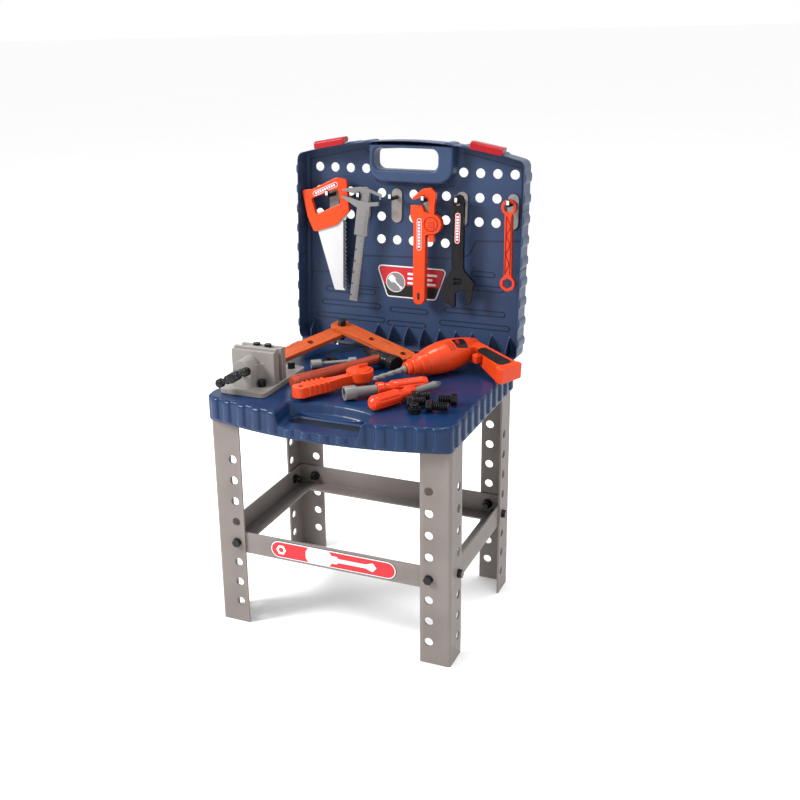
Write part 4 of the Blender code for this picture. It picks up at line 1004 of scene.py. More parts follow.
def latch_frame(centre):
    """A latch's pin, along the slope of the lid's arched top edge."""
    share = centre / LID_HALF
    rise = LID_MIDDLE - LID_CORNER
    height = LID_CORNER + rise * (1 - share * share) + LATCH_RISE
    slope = math.atan(2 * rise * centre / LID_HALF**2)
    return Matrix.Translation((centre, LATCH_DEPTH, height)) @ Matrix.Rotation(slope, 4, "Y")


def build_latch(name, centre, lid):
    """A hooked cover plate that swings about its pin and clips over the table's front edge."""
    outline = mm((-19.5, -5), (-17.3, -5.3), (-16.5, 3.0), (-3, 4.4), (3, 4.4), (5, 3.0), (5, 5.0),
                 (2, 7.4), (-13, 7.4), (-18.5, 4.5))
    latch = add(name, sidewise(outline, -LATCH_HALF, LATCH_HALF), "latch_red", lid, latch_frame(centre))
    pin = rod(LATCH_PIN, -0.018, 0.018, 8)
    web = slab(-0.011, 0.011, -0.0022, 0.0022, -0.0005, 0.0050)
    ends = gathered([slab(x - 0.0008, x + 0.0008, -0.0018, 0.0018, -0.001, 0.0050)
                     for x in (-0.0175, 0.0175)])
    side = mm((-19.5, -5), (-15.5, -5), (-9.5, -2.0), (1.5, -2.0), (5, 2.0), (5, 5.0), (2, 7.4), (-13, 7.4),
              (-18.5, 4.5))
    reach = LATCH_HALF - 0.0010
    sides = gathered([sidewise(side, x - 0.0010, x + 0.0010) for x in (-reach, reach)])
    join(latch, moved(pin, QUARTER_Y), web, ends, sides)


def build_hook(name, column, lid):
    """A clip-in hook: backing plate, two plugs through the board, and a turned-up peg painted black as its
    shade, with a white end plate as its painted highlight.
    """
    x = column * PEG_PITCH
    back = LID_PANEL - GAP
    face = back - 0.0025
    place = Matrix.Translation((x, 0, 0))
    hook = add(name, plate(stadium(0, 0.2235, 0, 0.2625, 0.0095), face, back), "hook_grey", lid, place)
    peg = [(face + 0.001, PEG_HEIGHT - 0.003), (face + 0.001, PEG_HEIGHT + 0.003),
           (0.0045, PEG_HEIGHT + 0.003), (0.0038, PEG_HEIGHT + 0.009), (0.0006, PEG_HEIGHT + 0.009),
           (0.0006, PEG_HEIGHT - 0.003)]
    number = name.removeprefix("hook_")
    # the grey peg is painted black for the shade on its sides
    detail(f"peg_{number}", sidewise(peg, -0.003, 0.003), "tool_black", lid, "lid", place, 0.0006)
    # a white plate on the peg's end face: painted highlight
    tip = sidewise(mm((0.3, 258.2), (0.65, 258.2), (0.65, 265.2), (0.3, 265.2)), -0.0022, 0.0022)
    detail(f"peg_tip_{number}", tip, "saw_white", lid, "lid", place, 0.0)
    plugs = [plate(circle(0, h, 0.0070, 8), face + 0.001, LID_DEPTH + 0.001)
             for h in (PEG_ROWS[1], PEG_ROWS[2])]
    join(hook, gathered(plugs))


def build_lid_parts(bench):
    """The lid with its latches and hooks in the lid's own leaning frame, and the hinge rod in the bench's
    frame.
    """
    turn = Matrix.Rotation(-LID_TILT, 4, "X")
    lid = group("lid_frame", Matrix.Translation((0, LID_Y, TABLE_TOP)) @ turn, bench)
    build_lid(lid)
    for name, centre in zip(("latch_left", "latch_right"), LATCH_CENTRES):
        build_latch(name, centre, lid)
    for number, column in enumerate(HOOK_COLUMNS, 1):
        build_hook(f"hook_{number}", column, lid)
    place = Matrix.Translation((0, HINGE_Y, HINGE_Z)) @ QUARTER_Y
    add("hinge_rod", rod(HINGE_PIN, -0.176, 0.176, 8), "rod_grey", bench, place)
    return lid


# ---- hanging tools: each is built around the peg that it hangs on -------------------------
def from_peg(column, *pairs):
    """Points given in millimetres on the board, counted from a peg."""
    x0 = column * PEG_PITCH / MM
    h0 = PEG_HEIGHT / MM
    return mm(*[(x - x0, h - h0) for x, h in pairs])


def peg_frame(column):
    """The place of the peg in that column of the board."""
    return Matrix.Translation((column * PEG_PITCH, 0, PEG_HEIGHT))


def caliper_frame():
    """The caliper hangs askew from its peg."""
    return peg_frame(-3) @ Matrix.Rotation(CALIPER_TILT, 4, "Y")


def saw_teeth(root, tip):
    """The toothed edge from the blade's foot upwards, between two places along X."""
    teeth = []
    for k in range(SAW_TEETH):
        h = TOOTH_FOOT + SAW_TOOTH * k
        teeth += [(root, h), (tip, h + 3.4)]
    return teeth


def build_saw(lid):
    """A toy hand saw: a D handle with its blade held in a slot."""
    place = peg_frame(-5)
    outer = rounded(from_peg(-5, (-198, 264), (-187, 218), (-175, 192), (-132, 206.5), (-108, 232),
                             (-113, 286), (-133, 288), (-178, 266)),
                    in_mm(4, 8, 5, 3, 3, 7, 7, 2), 2)
    grip = rounded(from_peg(-5, (-180, 250), (-171, 223), (-124, 244), (-129, 269.5)), 0.003, 2)
    handle = add("saw_handle", plate(outer, 0.0100, 0.0190, [opening(grip)]), "tool_orange", lid, place)
    slot = from_peg(-5, (-171.5, 206), (-171, 184), (-98, 208), (-105, 237))
    cut(handle, plate(slot, 0.0130, 0.0160))
    blade = from_peg(-5, (-169.5, 203), (-169, 195), (-137, 94), (-135, 92.5), (-117, 93),
                     *saw_teeth(-114.6, -117.2), (-114.6, 219), (-111.5, 232.5))
    add("saw_blade", plate(blade, 0.0133, 0.0157), "saw_white", lid, place)


def build_caliper(lid):
    """A caliper: fixed jaws and beam in one piece, and a slider around the beam."""
    place = caliper_frame()
    beam = mm((4, -180), (19, -180), (19, 11), (38, 7), (38, 2), (41, 2), (41, 11), (22, 16),
              (2, 18), (-31, 9), (-31, 6), (4, 4))
    add("caliper_beam", plate(beam, 0.0049, 0.0076), "tool_silver", lid, place)
    block = mm((0, -64), (23, -64), (23, -12), (38, -9), (38, -2), (22, -5.5), (0.5, -5.5),
               (-30, -2), (-30, -5), (0, -18))
    slider = add("caliper_slider", plate(block, 0.0026, 0.0097), "tool_silver", lid, place)
    cut(slider, slab(0.0034, 0.0196, 0.0042, 0.0082, -0.08, 0.02))


def build_pipe_wrench(lid):
    """A pipe wrench: a body with its nut's housing, and a hook jaw that slides through it."""
    place = peg_frame(1)
    ring = [(45 + 17 * math.cos(math.radians(a)), 219 + 17 * math.sin(math.radians(a)))
            for a in range(-100, 101, 25)]
    outer = from_peg(1, (12.5, 218), (13.5, 90), (17, 83), (23.5, 81), (31, 83), (35, 90), (34, 200),
                     *ring, (31, 239), (27, 248.5), (7, 248.5), (7, 229))
    body = add("pipe_wrench_body", plate(outer, 0.0050, 0.0190), "tool_orange", lid, place)
    x0 = PEG_PITCH
    h0 = PEG_HEIGHT
    cut(body, slab(0.0377 - x0, 0.0483 - x0, 0.0077, 0.0163, 0.18 - h0, 0.27 - h0))
    jaw = from_peg(1, (38, 189), (48, 189), (48, 249), (50, 262), (50, 271), (41, 279), (26, 276),
                   (9, 261), (9, 257), (23, 261.3), (34, 261.3), (38, 252))
    add("pipe_wrench_jaw", plate(jaw, 0.0080, 0.0160), "tool_orange", lid, place)


def build_adjustable_wrench(lid):
    """An adjustable wrench hanging by the hole in its handle, jaws down."""
    place = peg_frame(3)
    outer = from_peg(3, (80.5, 146), (70, 126), (64.5, 105), (69.5, 91), (88, 80), (88, 104), (95, 112),
                     (118, 112), (121, 126), (101, 146), (99.5, 260), (96, 267), (89.5, 270),
                     (82, 267), (78, 260))
    outer = rounded(outer, in_mm(12, 10, 8, 4, 1.5, 3, 2, 1, 4, 14, 3, 1, 1, 1, 3), 4)
    eye = opening(circle(0.0, EYE_DROP, 0.0055, 10))
    body = add("adjustable_wrench_body", plate(outer, 0.0070, 0.0160, [eye]), "tool_black", lid, place)
    x0 = 3 * PEG_PITCH
    h0 = PEG_HEIGHT
    cut(body, slab(0.0855 - x0, 0.0985 - x0, 0.001, 0.020, 0.1205 - h0, 0.1315 - h0))
    cut(body, slab(0.0900 - x0, 0.1300 - x0, 0.0087, 0.0143, 0.1105 - h0, 0.1193 - h0))
    jaw = from_peg(3, (92, 119), (92, 114.6), (100, 113.5), (108, 104), (107.5, 87), (115.5, 90),
                   (118.5, 112), (119, 119))
    jaw = rounded(jaw, in_mm(0.5, 0.5, 3, 5, 1.5, 3, 3, 0.5), 4)
    add("adjustable_wrench_jaw", plate(jaw, 0.0090, 0.0140), "tool_black", lid, place)
    profile = []
    for k in range(4):
        z = -0.0060 + 0.003 * k
        profile += [(0.0044, z), (0.0044, z + 0.0014), (0.0034, z + 0.0018), (0.0034, z + 0.0027)]
    at = Matrix.Translation((0.092, 0.0115, 0.1260))
    add("adjustable_wrench_worm", moved(lathe(profile, 10), QUARTER_Y), "tool_black", lid, at)


def build_box_wrench(lid):
    """A flat spanner with a ring at each end, round above and six-sided below."""
    place = peg_frame(6)
    top = (175.2, 253.6)
    low = (177.6, 129.5)
    ends = []
    for (cx, cy), start in ((top, -60), (low, 120)):
        for k in range(13):
            a = math.radians(start + 300 * k / 12)
            ends.append((cx + 12.8 * math.cos(a), cy + 12.8 * math.sin(a)))
    hexagonal = [(low[0] + 8.9 * math.cos(a), low[1] + 8.9 * math.sin(a))
                 for a in (math.radians(60 * k + 30) for k in range(6))]
    holes = [opening(from_peg(6, *ring)) for ring in (circle(*top, 8.4, 12), hexagonal)]
    add("box_wrench", plate(from_peg(6, *ends), 0.0080, 0.0160, holes), "tool_red", lid, place)


# ---- vise ---------------------------------------------------------------------------------
def vise_arch(foot):
    """The boss around the screw, seen from the front: upright sides and a round top."""
    top = [(VISE_SCREW_X + VISE_BOSS_RADIUS * math.cos(math.radians(a)),
            VISE_SCREW_Z + VISE_BOSS_STRETCH * VISE_BOSS_RADIUS * math.sin(math.radians(a)))
           for a in range(0, 181, 12)]
    return [(VISE_SCREW_X + VISE_BOSS_RADIUS, foot), *top, (VISE_SCREW_X - VISE_BOSS_RADIUS, foot)]


def vise_fillet():
    """The curved web between the boss's right side and the fixed plate, seen from above."""
    edge = VISE_SCREW_X + VISE_BOSS_RADIUS - 0.0005
    plate_face = -0.0965
    reach = 0.0125
    arc = [(edge + reach * (1 - math.cos(a)), plate_face - reach * (1 - math.sin(a))) for a in quarter(8)]
    return [(edge - 0.001, plate_face - reach), *arc, (edge + reach, -0.0960), (edge - 0.001, -0.0960)]


def build_vise_base(bench, floor, deck):
    """The base plate with its upright plates and the boss that the screw runs in."""
    outline = rectangle(VISE_X - VISE_PLATE_HALF, VISE_X + VISE_PLATE_HALF, VISE_PLATE_FRONT, VISE_PLATE_REAR)
    base = add("vise_base", prism(rounded(outline, 0.008), floor, deck), "vise_grey", bench)
    left = VISE_X - VISE_JAW_HALF
    right = VISE_X + VISE_JAW_HALF
    foot = deck - 0.001
    join(base, slab(left, right, -0.0970, -0.0900, foot, VISE_TOP))
    wave = [(right - 0.075 * k / 30, VISE_TOP - 0.0011 * (1 - math.cos(math.pi * k / 10))) for k in range(31)]
    join(base, plate([(left, foot), (right, foot), *wave], -0.0715, -0.0655))
    join(base, slab(left, right, -0.0640, -0.0580, foot, VISE_TOP))
    join(base, slab(left + 0.002, right - 0.002, -0.0660, -0.0635, foot, VISE_TOP - 0.004))
    join(base, plate(vise_arch(foot), -0.1275, -0.0950))
    join(base, prism(vise_fillet(), foot, VISE_SCREW_Z + 0.007))
    bore = moved(rod(0.0048, -0.140, -0.0860), Matrix.Rotation(-math.pi / 2, 4, "X"))
    cut(base, moved(bore, Matrix.Translation((VISE_SCREW_X, 0, VISE_SCREW_Z))))
    for x, y in VISE_BOLTS.values():
        cut(base, prism(circle(x, y, VISE_BOLT_BORE, 10), floor - 0.01, deck + 0.01))
        cut(LOOKS["bench_top"], prism(circle(x, y, VISE_BOLT_BORE, 10), 0.385, 0.400))


def build_vise(bench):
    """A bench vise bolted through the table, with a jaw plate pushed by its screw."""
    floor = TABLE_TOP + GAP
    deck = floor + VISE_PLATE
    build_vise_base(bench, floor, deck)
    for name, (x, y) in VISE_BOLTS.items():
        nut_face = TABLE_TOP - WALL - GAP - deck
        shank = nutted(nut_face, nut_face - 0.0070, 0.0038)
        bolt = stacked([(0.0105, "hex", 0.0112), (0.0004, "hex", 0.0120), *shank])
        add(name, bolt, "bolt_black", bench, Matrix.Translation((x, y, deck)))
    left = VISE_X - VISE_JAW_HALF - VISE_SCREW_X
    right = VISE_X + VISE_JAW_HALF - VISE_SCREW_X
    jaw = slab(left, right, -0.0040, 0.0040, deck + GAP - VISE_SCREW_Z, VISE_TOP + 0.003 - VISE_SCREW_Z)
    place = Matrix.Translation((VISE_SCREW_X, -0.0850, VISE_SCREW_Z))
    moving = add("vise_jaw", jaw, "vise_grey", bench, place)
    cut(moving, moved(rod(0.0056, -0.0060, 0.0015), Matrix.Rotation(-math.pi / 2, 4, "X")))
    build_vise_screw(bench)


def build_vise_screw(bench):
    """The screw runs along +Y from its T handle to the moving jaw."""
    screw = lathe([(0.0060, -0.0345), (0.0080, -0.0335), (0.0080, -0.0155), (0.0044, -0.0150),
                   (0.0044, 0.0422)])
    turn = Matrix.Rotation(-math.pi / 2, 4, "X")
    place = Matrix.Translation((VISE_SCREW_X, -0.1265, VISE_SCREW_Z))
    obj = add("vise_screw", moved(screw, turn), "bolt_black", bench, place)
    profile = []
    for centre in (-0.0255, -0.0085, 0.0085, 0.0255):
        for along, radius in ((-0.0070, 0.0046), (-0.0038, 0.0070), (0.0038, 0.0070), (0.0070, 0.0046)):
            profile.append((radius, centre + along))
    bar = moved(lathe(profile, 10), Matrix.Rotation(math.radians(63), 4, "Y"))
    join(obj, moved(bar, Matrix.Translation((0, -0.0270, 0))))


# ---- planks -------------------------------------------------------------------------------
def plank_frame(bench):
    """A frame at the plank bolt, its Z square to the tilted planks and its X along the upper one."""
    normal = Vector((-PLANK_GRADIENT[0], -PLANK_GRADIENT[1], 1)).normalized()
    along = Vector((0.953, -0.303, 0.953 * PLANK_GRADIENT[0] - 0.303 * PLANK_GRADIENT[1])).normalized()
    across = normal.cross(along)
    basis = Matrix((along, across, normal)).transposed().to_4x4()
    return group("plank_frame", Matrix.Translation(PLANK_APEX) @ basis, bench)


def plank(name, last_hole, top, at, turn=None):
    """A plank along +X from the bolt, with three holes, its upper face at top."""
    outline = rounded(rectangle(-0.016, last_hole + 0.016, -PLANK_HALF, PLANK_HALF), 0.007)
    rings = [opening(circle(x, 0, PLANK_HOLE, 10)) for x in (0, PLANK_PITCH, last_hole)]
    add(name, prism(outline, top - PLANK_THICK, top, rings), "wood_orange", at, turn)


def build_planks(bench):
    """Two planks on one bolt, opened to an angle and leaning on the things under them."""
    at = plank_frame(bench)
    plank("plank_upper", 2 * PLANK_PITCH, 0.0, at)
    swing = Matrix.Rotation(PLANK_SWING, 4, "Z")
    plank("plank_lower", 2 * PLANK_PITCH - 0.006, -PLANK_THICK - GAP, at, swing)
    low = -2 * PLANK_THICK - GAP
    shank = nutted(low - GAP, low - 0.0070, 0.0048)
    bolt = stacked([(0.0100, "hex", 0.0120), (0.0004, "hex", 0.0130), *shank])
    add("plank_bolt", bolt, "bolt_black", at)


# ---- loose tools on the table -------------------------------------------------------------
def crossways(x, y, z, angle):
    """Places a solid built along Z so that it lies level at angle, with its local Y upright."""
    turn = Matrix.Rotation(angle, 4, "Z")
    basis = Matrix(((0, 0, 1, 0), (1, 0, 0, 0), (0, 1, 0, 0), (0, 0, 0, 1)))
    return Matrix.Translation((x, y, z)) @ turn @ basis


def oval(at, half, thick, side=0.0, drop=0.0):
    """A twelve-sided oval ring, half wide and thick high, at that place along Z."""
    return [(x * half + side, y * thick + drop, at) for x, y in circle(0, 0, 1.0, 12)]


def build_hammer(bench):
    """The hammer lies on its side: handle and head in the plane of the table."""
    z = TABLE_TOP + GAP + HAMMER_FACE
    place = crossways(*HAMMER_END, z, HAMMER_ANGLE)
    handle = [(0.0, 0.0095, 0.0075), (0.006, 0.0125, 0.0110), (0.060, 0.0110, 0.0100),
              (0.130, 0.0090, 0.0080), (0.1975, 0.0085, 0.0075)]
    add("hammer_handle", loft([oval(*ring) for ring in handle]), "wood_handle", bench, place)
    profile = [(-0.072, 0.0030, 0.0045), (-0.045, 0.0080, 0.0060), (-0.018, 0.0125, 0.0110),
               (0.014, 0.0125, 0.0110), (0.020, 0.0090, 0.0090), (0.027, 0.0085, 0.0085),
               (0.029, 0.0135, 0.0135), (0.042, 0.0135, 0.0135), (0.0435, 0.0120, 0.0120)]
    rings = []
    for at, half, thick in profile:
        drop = -0.55 * (HAMMER_FACE - thick) if at < 0.0 else 0.0
        side = 0.20 * max(0.0, -0.02 - at)
        rings.append(oval(at, half, thick, side, drop))
    head_place = crossways(*HAMMER_HEAD, z, HAMMER_ANGLE - HAMMER_HEAD_TURN)
    head = add("hammer_head", loft(rings), "tool_black", bench, head_place)
    hole = loft([oval(at, 0.0092, 0.0082) for at in (0.150, 0.230)])
    cut(head, moved(hole, head_place.inverted() @ place))


def build_ratchet(bench):
    """A toy ratchet: flat handle with ribs, round head with a thumb lever, drive underneath."""
    angle = math.atan2(97, 60)
    z = TABLE_TOP + GAP
    place = Matrix.Translation((0.005, -0.027, z)) @ Matrix.Rotation(angle, 4, "Z")
    low = 0.0100
    high = 0.0220
    disc = prism(circle(0, 0, 0.0215, 16), low, high + 0.004)
    head = add("ratchet_body", disc, "tool_orange", bench, place)
    corners = mm((-122, -13), (-62, -11), (-40, -7), (-15, -7), (-15, 7), (-40, 7), (-62, 11), (-122, 13))
    grip = rounded(corners, in_mm(12, 2, 2, 0, 0, 2, 2, 12), 4)
    join(head, prism(grip, 0.0060, high, [opening(circle(-0.108, 0, 0.0042, 8))]))
    join(head, slab(-0.003, 0.014, -0.002, 0.002, high, high + 0.012))
    ribs = [slab(x - 0.0024, x + 0.0024, -0.0136, 0.0136, 0.0068, high + 0.0012)
            for x in (-0.0980, -0.0895, -0.0810, -0.0725, -0.0640)]
    join(head, gathered(ribs))
    join(head, lathe([(0.0165, high + 0.003), (0.0165, high + 0.0062), (0.0150, high + 0.0068)], 16))
    cut(head, rod(0.0110, low - 0.01, low + 0.006))
    drive = stacked([(0.0, "round", 0.0060), (low - 0.0005, "round", 0.0062),
                     (low - 0.0004, "round", 0.0106), (low + 0.0055, "round", 0.0106)])
    add("ratchet_drive", drive, "tool_orange", bench, place)


def turned(name, profile, colour, bench, tip, angle, z):
    """A round tool part lying on the table, its profile given from its near end in millimetres."""
    pairs = [(r * MM, at * MM) for at, r in profile]
    return add(name, lathe(pairs), colour, bench, lying(*tip, z, angle))


def flutes(radius, low, high):
    """Cutters for the round grooves along a driver's handle."""
    cutters = []
    for k in range(8):
        a = math.pi / 4 * (k + 0.5)
        cutter = lathe([(0.0006, low), (0.0026, low + 0.004), (0.0026, high - 0.004), (0.0006, high)], 4)
        cutters.append(moved(cutter, Matrix.Translation((radius * math.cos(a), radius * math.sin(a), 0))))
    return gathered(cutters)


def build_nut_driver(bench):
    """A socket on a handle, lying towards the drill."""
    at = ((0.0110, -0.1000), math.atan2(91, 99), TABLE_TOP + GAP + 0.0112)
    shank = [(0, 11.0), (17, 11.0), (22, 8.0), (52, 7.2), (60, 4.0), (72, 4.0)]
    socket = turned("nut_driver_socket", shank, "tool_silver", bench, *at)
    cut(socket, prism(hexagon(0.0150), -0.005, 0.013))
    grip = [(52.4, 10.5), (62, 10.5), (66, 8.0), (72, 8.0), (78, 10.8), (126, 11.2), (134, 9.5), (136, 4.0)]
    handle = turned("nut_driver_handle", grip, "tool_red", bench, *at)
    cut(handle, flutes(0.0126, 0.082, 0.129))
    cut(handle, lathe([(0.0075, 0.040), (0.0075, 0.0526), (0.0043, 0.0600), (0.0043, 0.0723)]))


def build_screwdriver(bench):
    """A flat-bladed screwdriver."""
    at = ((0.0690, -0.1290), math.atan2(70, 35), TABLE_TOP + GAP + 0.0120)
    grip = [(-3, 5.0), (1, 10.0), (6, 11.8), (48, 11.5), (58, 8.0), (66, 8.0), (70, 10.5), (81, 10.5),
            (83, 8.0)]
    handle = turned("screwdriver_handle", grip, "tool_red", bench, *at)
    cut(handle, flutes(0.0133, 0.006, 0.050))
    cut(handle, rod(0.0053, 0.066, 0.090))
    shank = [(66.3, 5.0), (114, 5.0), (125, 6.2), (137, 2.6), (138, 1.8)]
    blade = turned("screwdriver_blade", shank, "tool_silver", bench, *at)
    cut(blade, gathered([slab(-0.02, 0.02, y - 0.009, y + 0.009, 0.127, 0.150) for y in (-0.0107, 0.0107)]))


def build_socket_wrench(bench):
    """A rod with a socket at each end."""
    at = ((-0.104, 0.020), math.atan2(45, 62), TABLE_TOP + GAP + 0.0076)
    shank = [(0, 7.4), (17, 7.4), (19, 3.2), (62, 3.2), (64, 6.4), (76, 6.4)]
    wrench = turned("socket_wrench", shank, "tool_silver", bench, *at)
    cut(wrench, prism(hexagon(0.0095), -0.005, 0.010))


def build_washer(bench):
    """A large washer lying flat."""
    x, y = (-0.094, 0.071)
    hole = opening(circle(x, y, 0.0052, 12))
    ring = prism(circle(x, y, 0.0120, 14), TABLE_TOP + GAP, TABLE_TOP + 0.0035, [hole])
    add("washer", ring, "bolt_black", bench)


# ---- drill --------------------------------------------------------------------------------
def twisted_bit():
    """A toy twist drill along Z: two winding flutes, then a collar and a plain shank."""
    rings = [circle(0, 0, 0.0012, 10)]
    heights = [-0.0620]
    steps = 70
    for k in range(steps + 1):
        z = -0.0590 + 0.0530 * k / steps
        turn = 2 * math.pi * z / BIT_LEAD
        ring = []
        for x, y in circle(0, 0, 1.0, 10):
            a = math.atan2(y, x)
            sunk = (0.5 + 0.5 * math.cos(2 * a - turn)) ** 2
            radius = (0.0043 - 0.0011 * sunk) * (0.55 if k == 0 else 1.0)
            ring.append((x * radius, y * radius))
        rings.append(ring)
        heights.append(z)
    for radius, z in ((0.0040, -0.0045), (0.0058, -0.0040), (0.0062, -0.0030), (0.0062, 0.0006),
                      (0.0042, 0.0008), (0.0040, 0.0090)):
        rings.append(circle(0, 0, radius, 10))
        heights.append(z)
    return loft([[(x, y, z) for x, y in ring] for ring, z in zip(rings, heights)])


def build_drill(bench):
    """The drill lies on its side: nose at the frame's origin, body along +X, grip along -Y."""
    turn = Matrix.Rotation(DRILL_TURN, 4, "Z") @ Matrix.Rotation(-DRILL_PITCH, 4, "Y")
    turn = turn @ Matrix.Rotation(DRILL_ROLL, 4, "X")
    at = group("drill_frame", Matrix.Translation(DRILL_NOSE) @ turn, bench)
    profile = mm((13.0, 10.3), (13.8, 12.5), (13.8, 24.0), (17.8, 26.0), (18.6, 38.5), (20.5, 40.5),
                 (24.0, 56.0), (26.0, 76.0), (25.8, 95.0), (22.8, 115.0), (18.8, 134.0), (14.0, 148.0),
                 (8.0, 152.0))
    body = add("drill_body", moved(lathe(profile, 16), QUARTER_Y), "tool_orange", at)
    grip = mm((112, -10), (128, -26), (105, -100), (142, -104), (144, -12))
    grip = rounded(grip, in_mm(2, 2, 0, 3, 4), 2)
    join(body, prism(grip, -0.0140, 0.0140))
    foot = rounded(mm((103, -96), (103, -111), (148, -111), (147, -99)), 0.003, 2)
    join(body, prism(foot, -0.0130, 0.0130))
    cut(body, moved(rod(0.0085, -0.01, 0.019), QUARTER_Y))
    cut(body, slab(0.1100, 0.1290, -0.0455, -0.0280, -0.0072, 0.0072))
    cut(body, slab(0.0935, 0.1065, -0.0160, -0.0060, 0.0180, 0.0300))
    shell = lathe(mm((8.5, 1.5), (10.6, 3.0), (10.6, 9.9), (7.5, 10.0), (7.5, 18.0)))
    chuck = add("drill_chuck", moved(shell, QUARTER_Y), "tool_orange", at)
    cut(chuck, moved(rod(0.0043, -0.02, 0.0095), QUARTER_Y))
    add("drill_bit", moved(twisted_bit(), QUARTER_Y), "tool_silver", at)
    trigger = mm((111.5, -42), (124.0, -44.3), (124.0, -29.2), (113.5, -29.6))
    trigger = rounded(trigger, in_mm(5, 2, 2, 3), 4)
    add("drill_trigger", prism(trigger, -0.0062, 0.0062), "tool_orange", at)
    add("drill_switch", slab(0.0968, 0.0992, -0.0150, -0.0070, 0.0202, 0.0275), "latch_red", at)
    return at


# ---- details that the CAD leaves out -------------------------------------------------------
def printed(name, outline, near, far, colour, parent, body, holes=()):
    """One flat layer of a printed mark, between two depths."""
    detail(name, plate(outline, near, far, holes), colour, parent, body, bevel=0.0)


def badge(name, outline, near, step, layers, parent, body):
    """A printed label: layers of (colour, margin) on one another, standing proud towards -Y."""
    for number, (colour, margin) in enumerate(layers, 1):
        shape = inset(outline, margin) if margin else outline
        top = near - step * number
        printed(f"{name}_{number}", shape, top, near - step * (number - 1) + 0.00002, colour, parent, body)


def screwdriver_icon(x, h, angle, scale, girth=1.0):
    """A small driver pictogram as one outline."""
    side = [(-14, -1.2), (-13, -3.0), (-4, -3.0), (-3, -1.6), (-1, -1.6), (0, -0.8), (11, -0.8), (14, -1.8)]
    points = [*side, (15.5, 0), *[(u, -v) for u, v in reversed(side)]]
    c = math.cos(angle) * scale * MM
    s = math.sin(angle) * scale * MM
    return [(x + c * u - s * v * girth, h + s * u + c * v * girth) for u, v in points]


def build_lid_label(lid):
    """A shield on the peg board: a driver pictogram on a grey disc, and three stripes for words."""
    face = LID_PANEL
    layer = LABEL_STEP
    shield = rounded(mm((-46, 84), (44.5, 84), (64, 139.5), (-66.5, 139.5)), 0.007)
    badge("lid_label", shield, face, layer, (("label_white", 0), ("label_black", 0.0022)), lid, "lid")
    red = mm((-51.5, 106), (51, 106), (60.2, 136.8), (-62.8, 136.8))
    red = rounded(red, [0.0005, 0.0005, 0.005, 0.005])
    printed("lid_label_red", red, face - 3 * layer, face - 2 * layer, "label_red", lid, "lid")
    middle = (-0.030, 0.111)
    disc = circle(*middle, 0.0165, 16)
    printed("lid_label_disc", disc, face - 4 * layer, face - 2 * layer, "label_grey", lid, "lid")
    hole = opening(circle(*middle, 0.0162, 16))
    ring = circle(*middle, 0.0178, 16)
    printed("lid_label_ring", ring, face - 0.00145, face - 2 * layer, "label_white", lid, "lid", [hole])
    icon = screwdriver_icon(*middle, math.radians(-42), 1.05, 1.7)
    printed("lid_label_icon", icon, face - 5 * layer, face - 4 * layer, "label_white", lid, "lid")
    for number, (h, end) in enumerate(((125, 46), (117, 38), (109, 44)), 1):
        stripe = rounded(mm((-8, h), (end, h), (end, h + 4), (-8, h + 4)), 0.0015)
        name = f"lid_label_stripe_{number}"
        printed(name, stripe, face - 4 * layer, face - 3 * layer, "label_white", lid, "lid")


def build_rail_label(bench):
    """A long label on the front rail with a nut and a driver as pictograms."""
    face = LEG_FRONT + LEG_WALL + GAP
    x0, x1 = RAIL_LABEL
    layers = (("label_black", 0), ("label_white", 0.0008), ("label_red", 0.0024))
    badge("rail_label", stadium(x0, RAIL_Z, x1, RAIL_Z, 0.0150), face, LABEL_STEP, layers, bench, "bench")
    near = face - 4 * LABEL_STEP
    far = face - 3 * LABEL_STEP
    icon = screwdriver_icon((x0 + x1) / 2 + 0.012, RAIL_Z, 0.0, 4.1)
    printed("rail_label_icon_1", icon, near, far, "label_white", bench, "bench")
    nut = [(x0 + 0.004 + a, RAIL_Z + b) for a, b in hexagon(0.0150)]
    hole = opening(circle(x0 + 0.004, RAIL_Z, 0.0042, 12))
    printed("rail_label_nut", nut, near, far, "label_white", bench, "bench", [hole])


def loose_bolt(length):
    """A toy bolt along Z from the face of its head: deep hex head, flange and a coarse thread."""
    sections = [(0.0, "hex", 0.0146), (0.0009, "hex", 0.0160), (0.0074, "hex", 0.0160),
                (0.0075, "round", 0.0095), (0.0091, "round", 0.0095), (0.0092, "round", 0.0056)]
    turns = int(length / THREAD_PITCH)
    for k in range(turns):
        z = 0.0100 + THREAD_PITCH * k
        sections += [(z, "round", 0.0052), (z + 0.0009, "round", 0.0070), (z + 0.0016, "round", 0.0070)]
    sections.append((0.0102 + THREAD_PITCH * turns, "round", 0.0045))
    return stacked(sections)


def build_loose_bolts(bench):
    """The bolts that lie on the table in front of the drill, and one that stands on its head."""
    for number, (x, y, angle, length) in enumerate(LOOSE_BOLTS, 1):
        place = lying(x, y, TABLE_TOP + 0.0096, math.radians(angle), math.radians(30))
        detail(f"loose_bolt_{number}", loose_bolt(length), "bolt_black", bench, "bench", place, 0.0003)
    place = Matrix.Translation((*STANDING_BOLT, TABLE_TOP + 0.0001)) @ Matrix.Rotation(0.4, 4, "Z")
    bolt = detail("loose_bolt_5", loose_bolt(0.006), "bolt_black", bench, "bench", place, 0.0003)
    cut(bolt, rod(0.0030, 0.012, 0.030, 6))


def drill_skin(*profile):
    """A round shell shape along the drill's body, its profile given in millimetres."""
    return moved(lathe(mm(*profile), 16), QUARTER_Y)


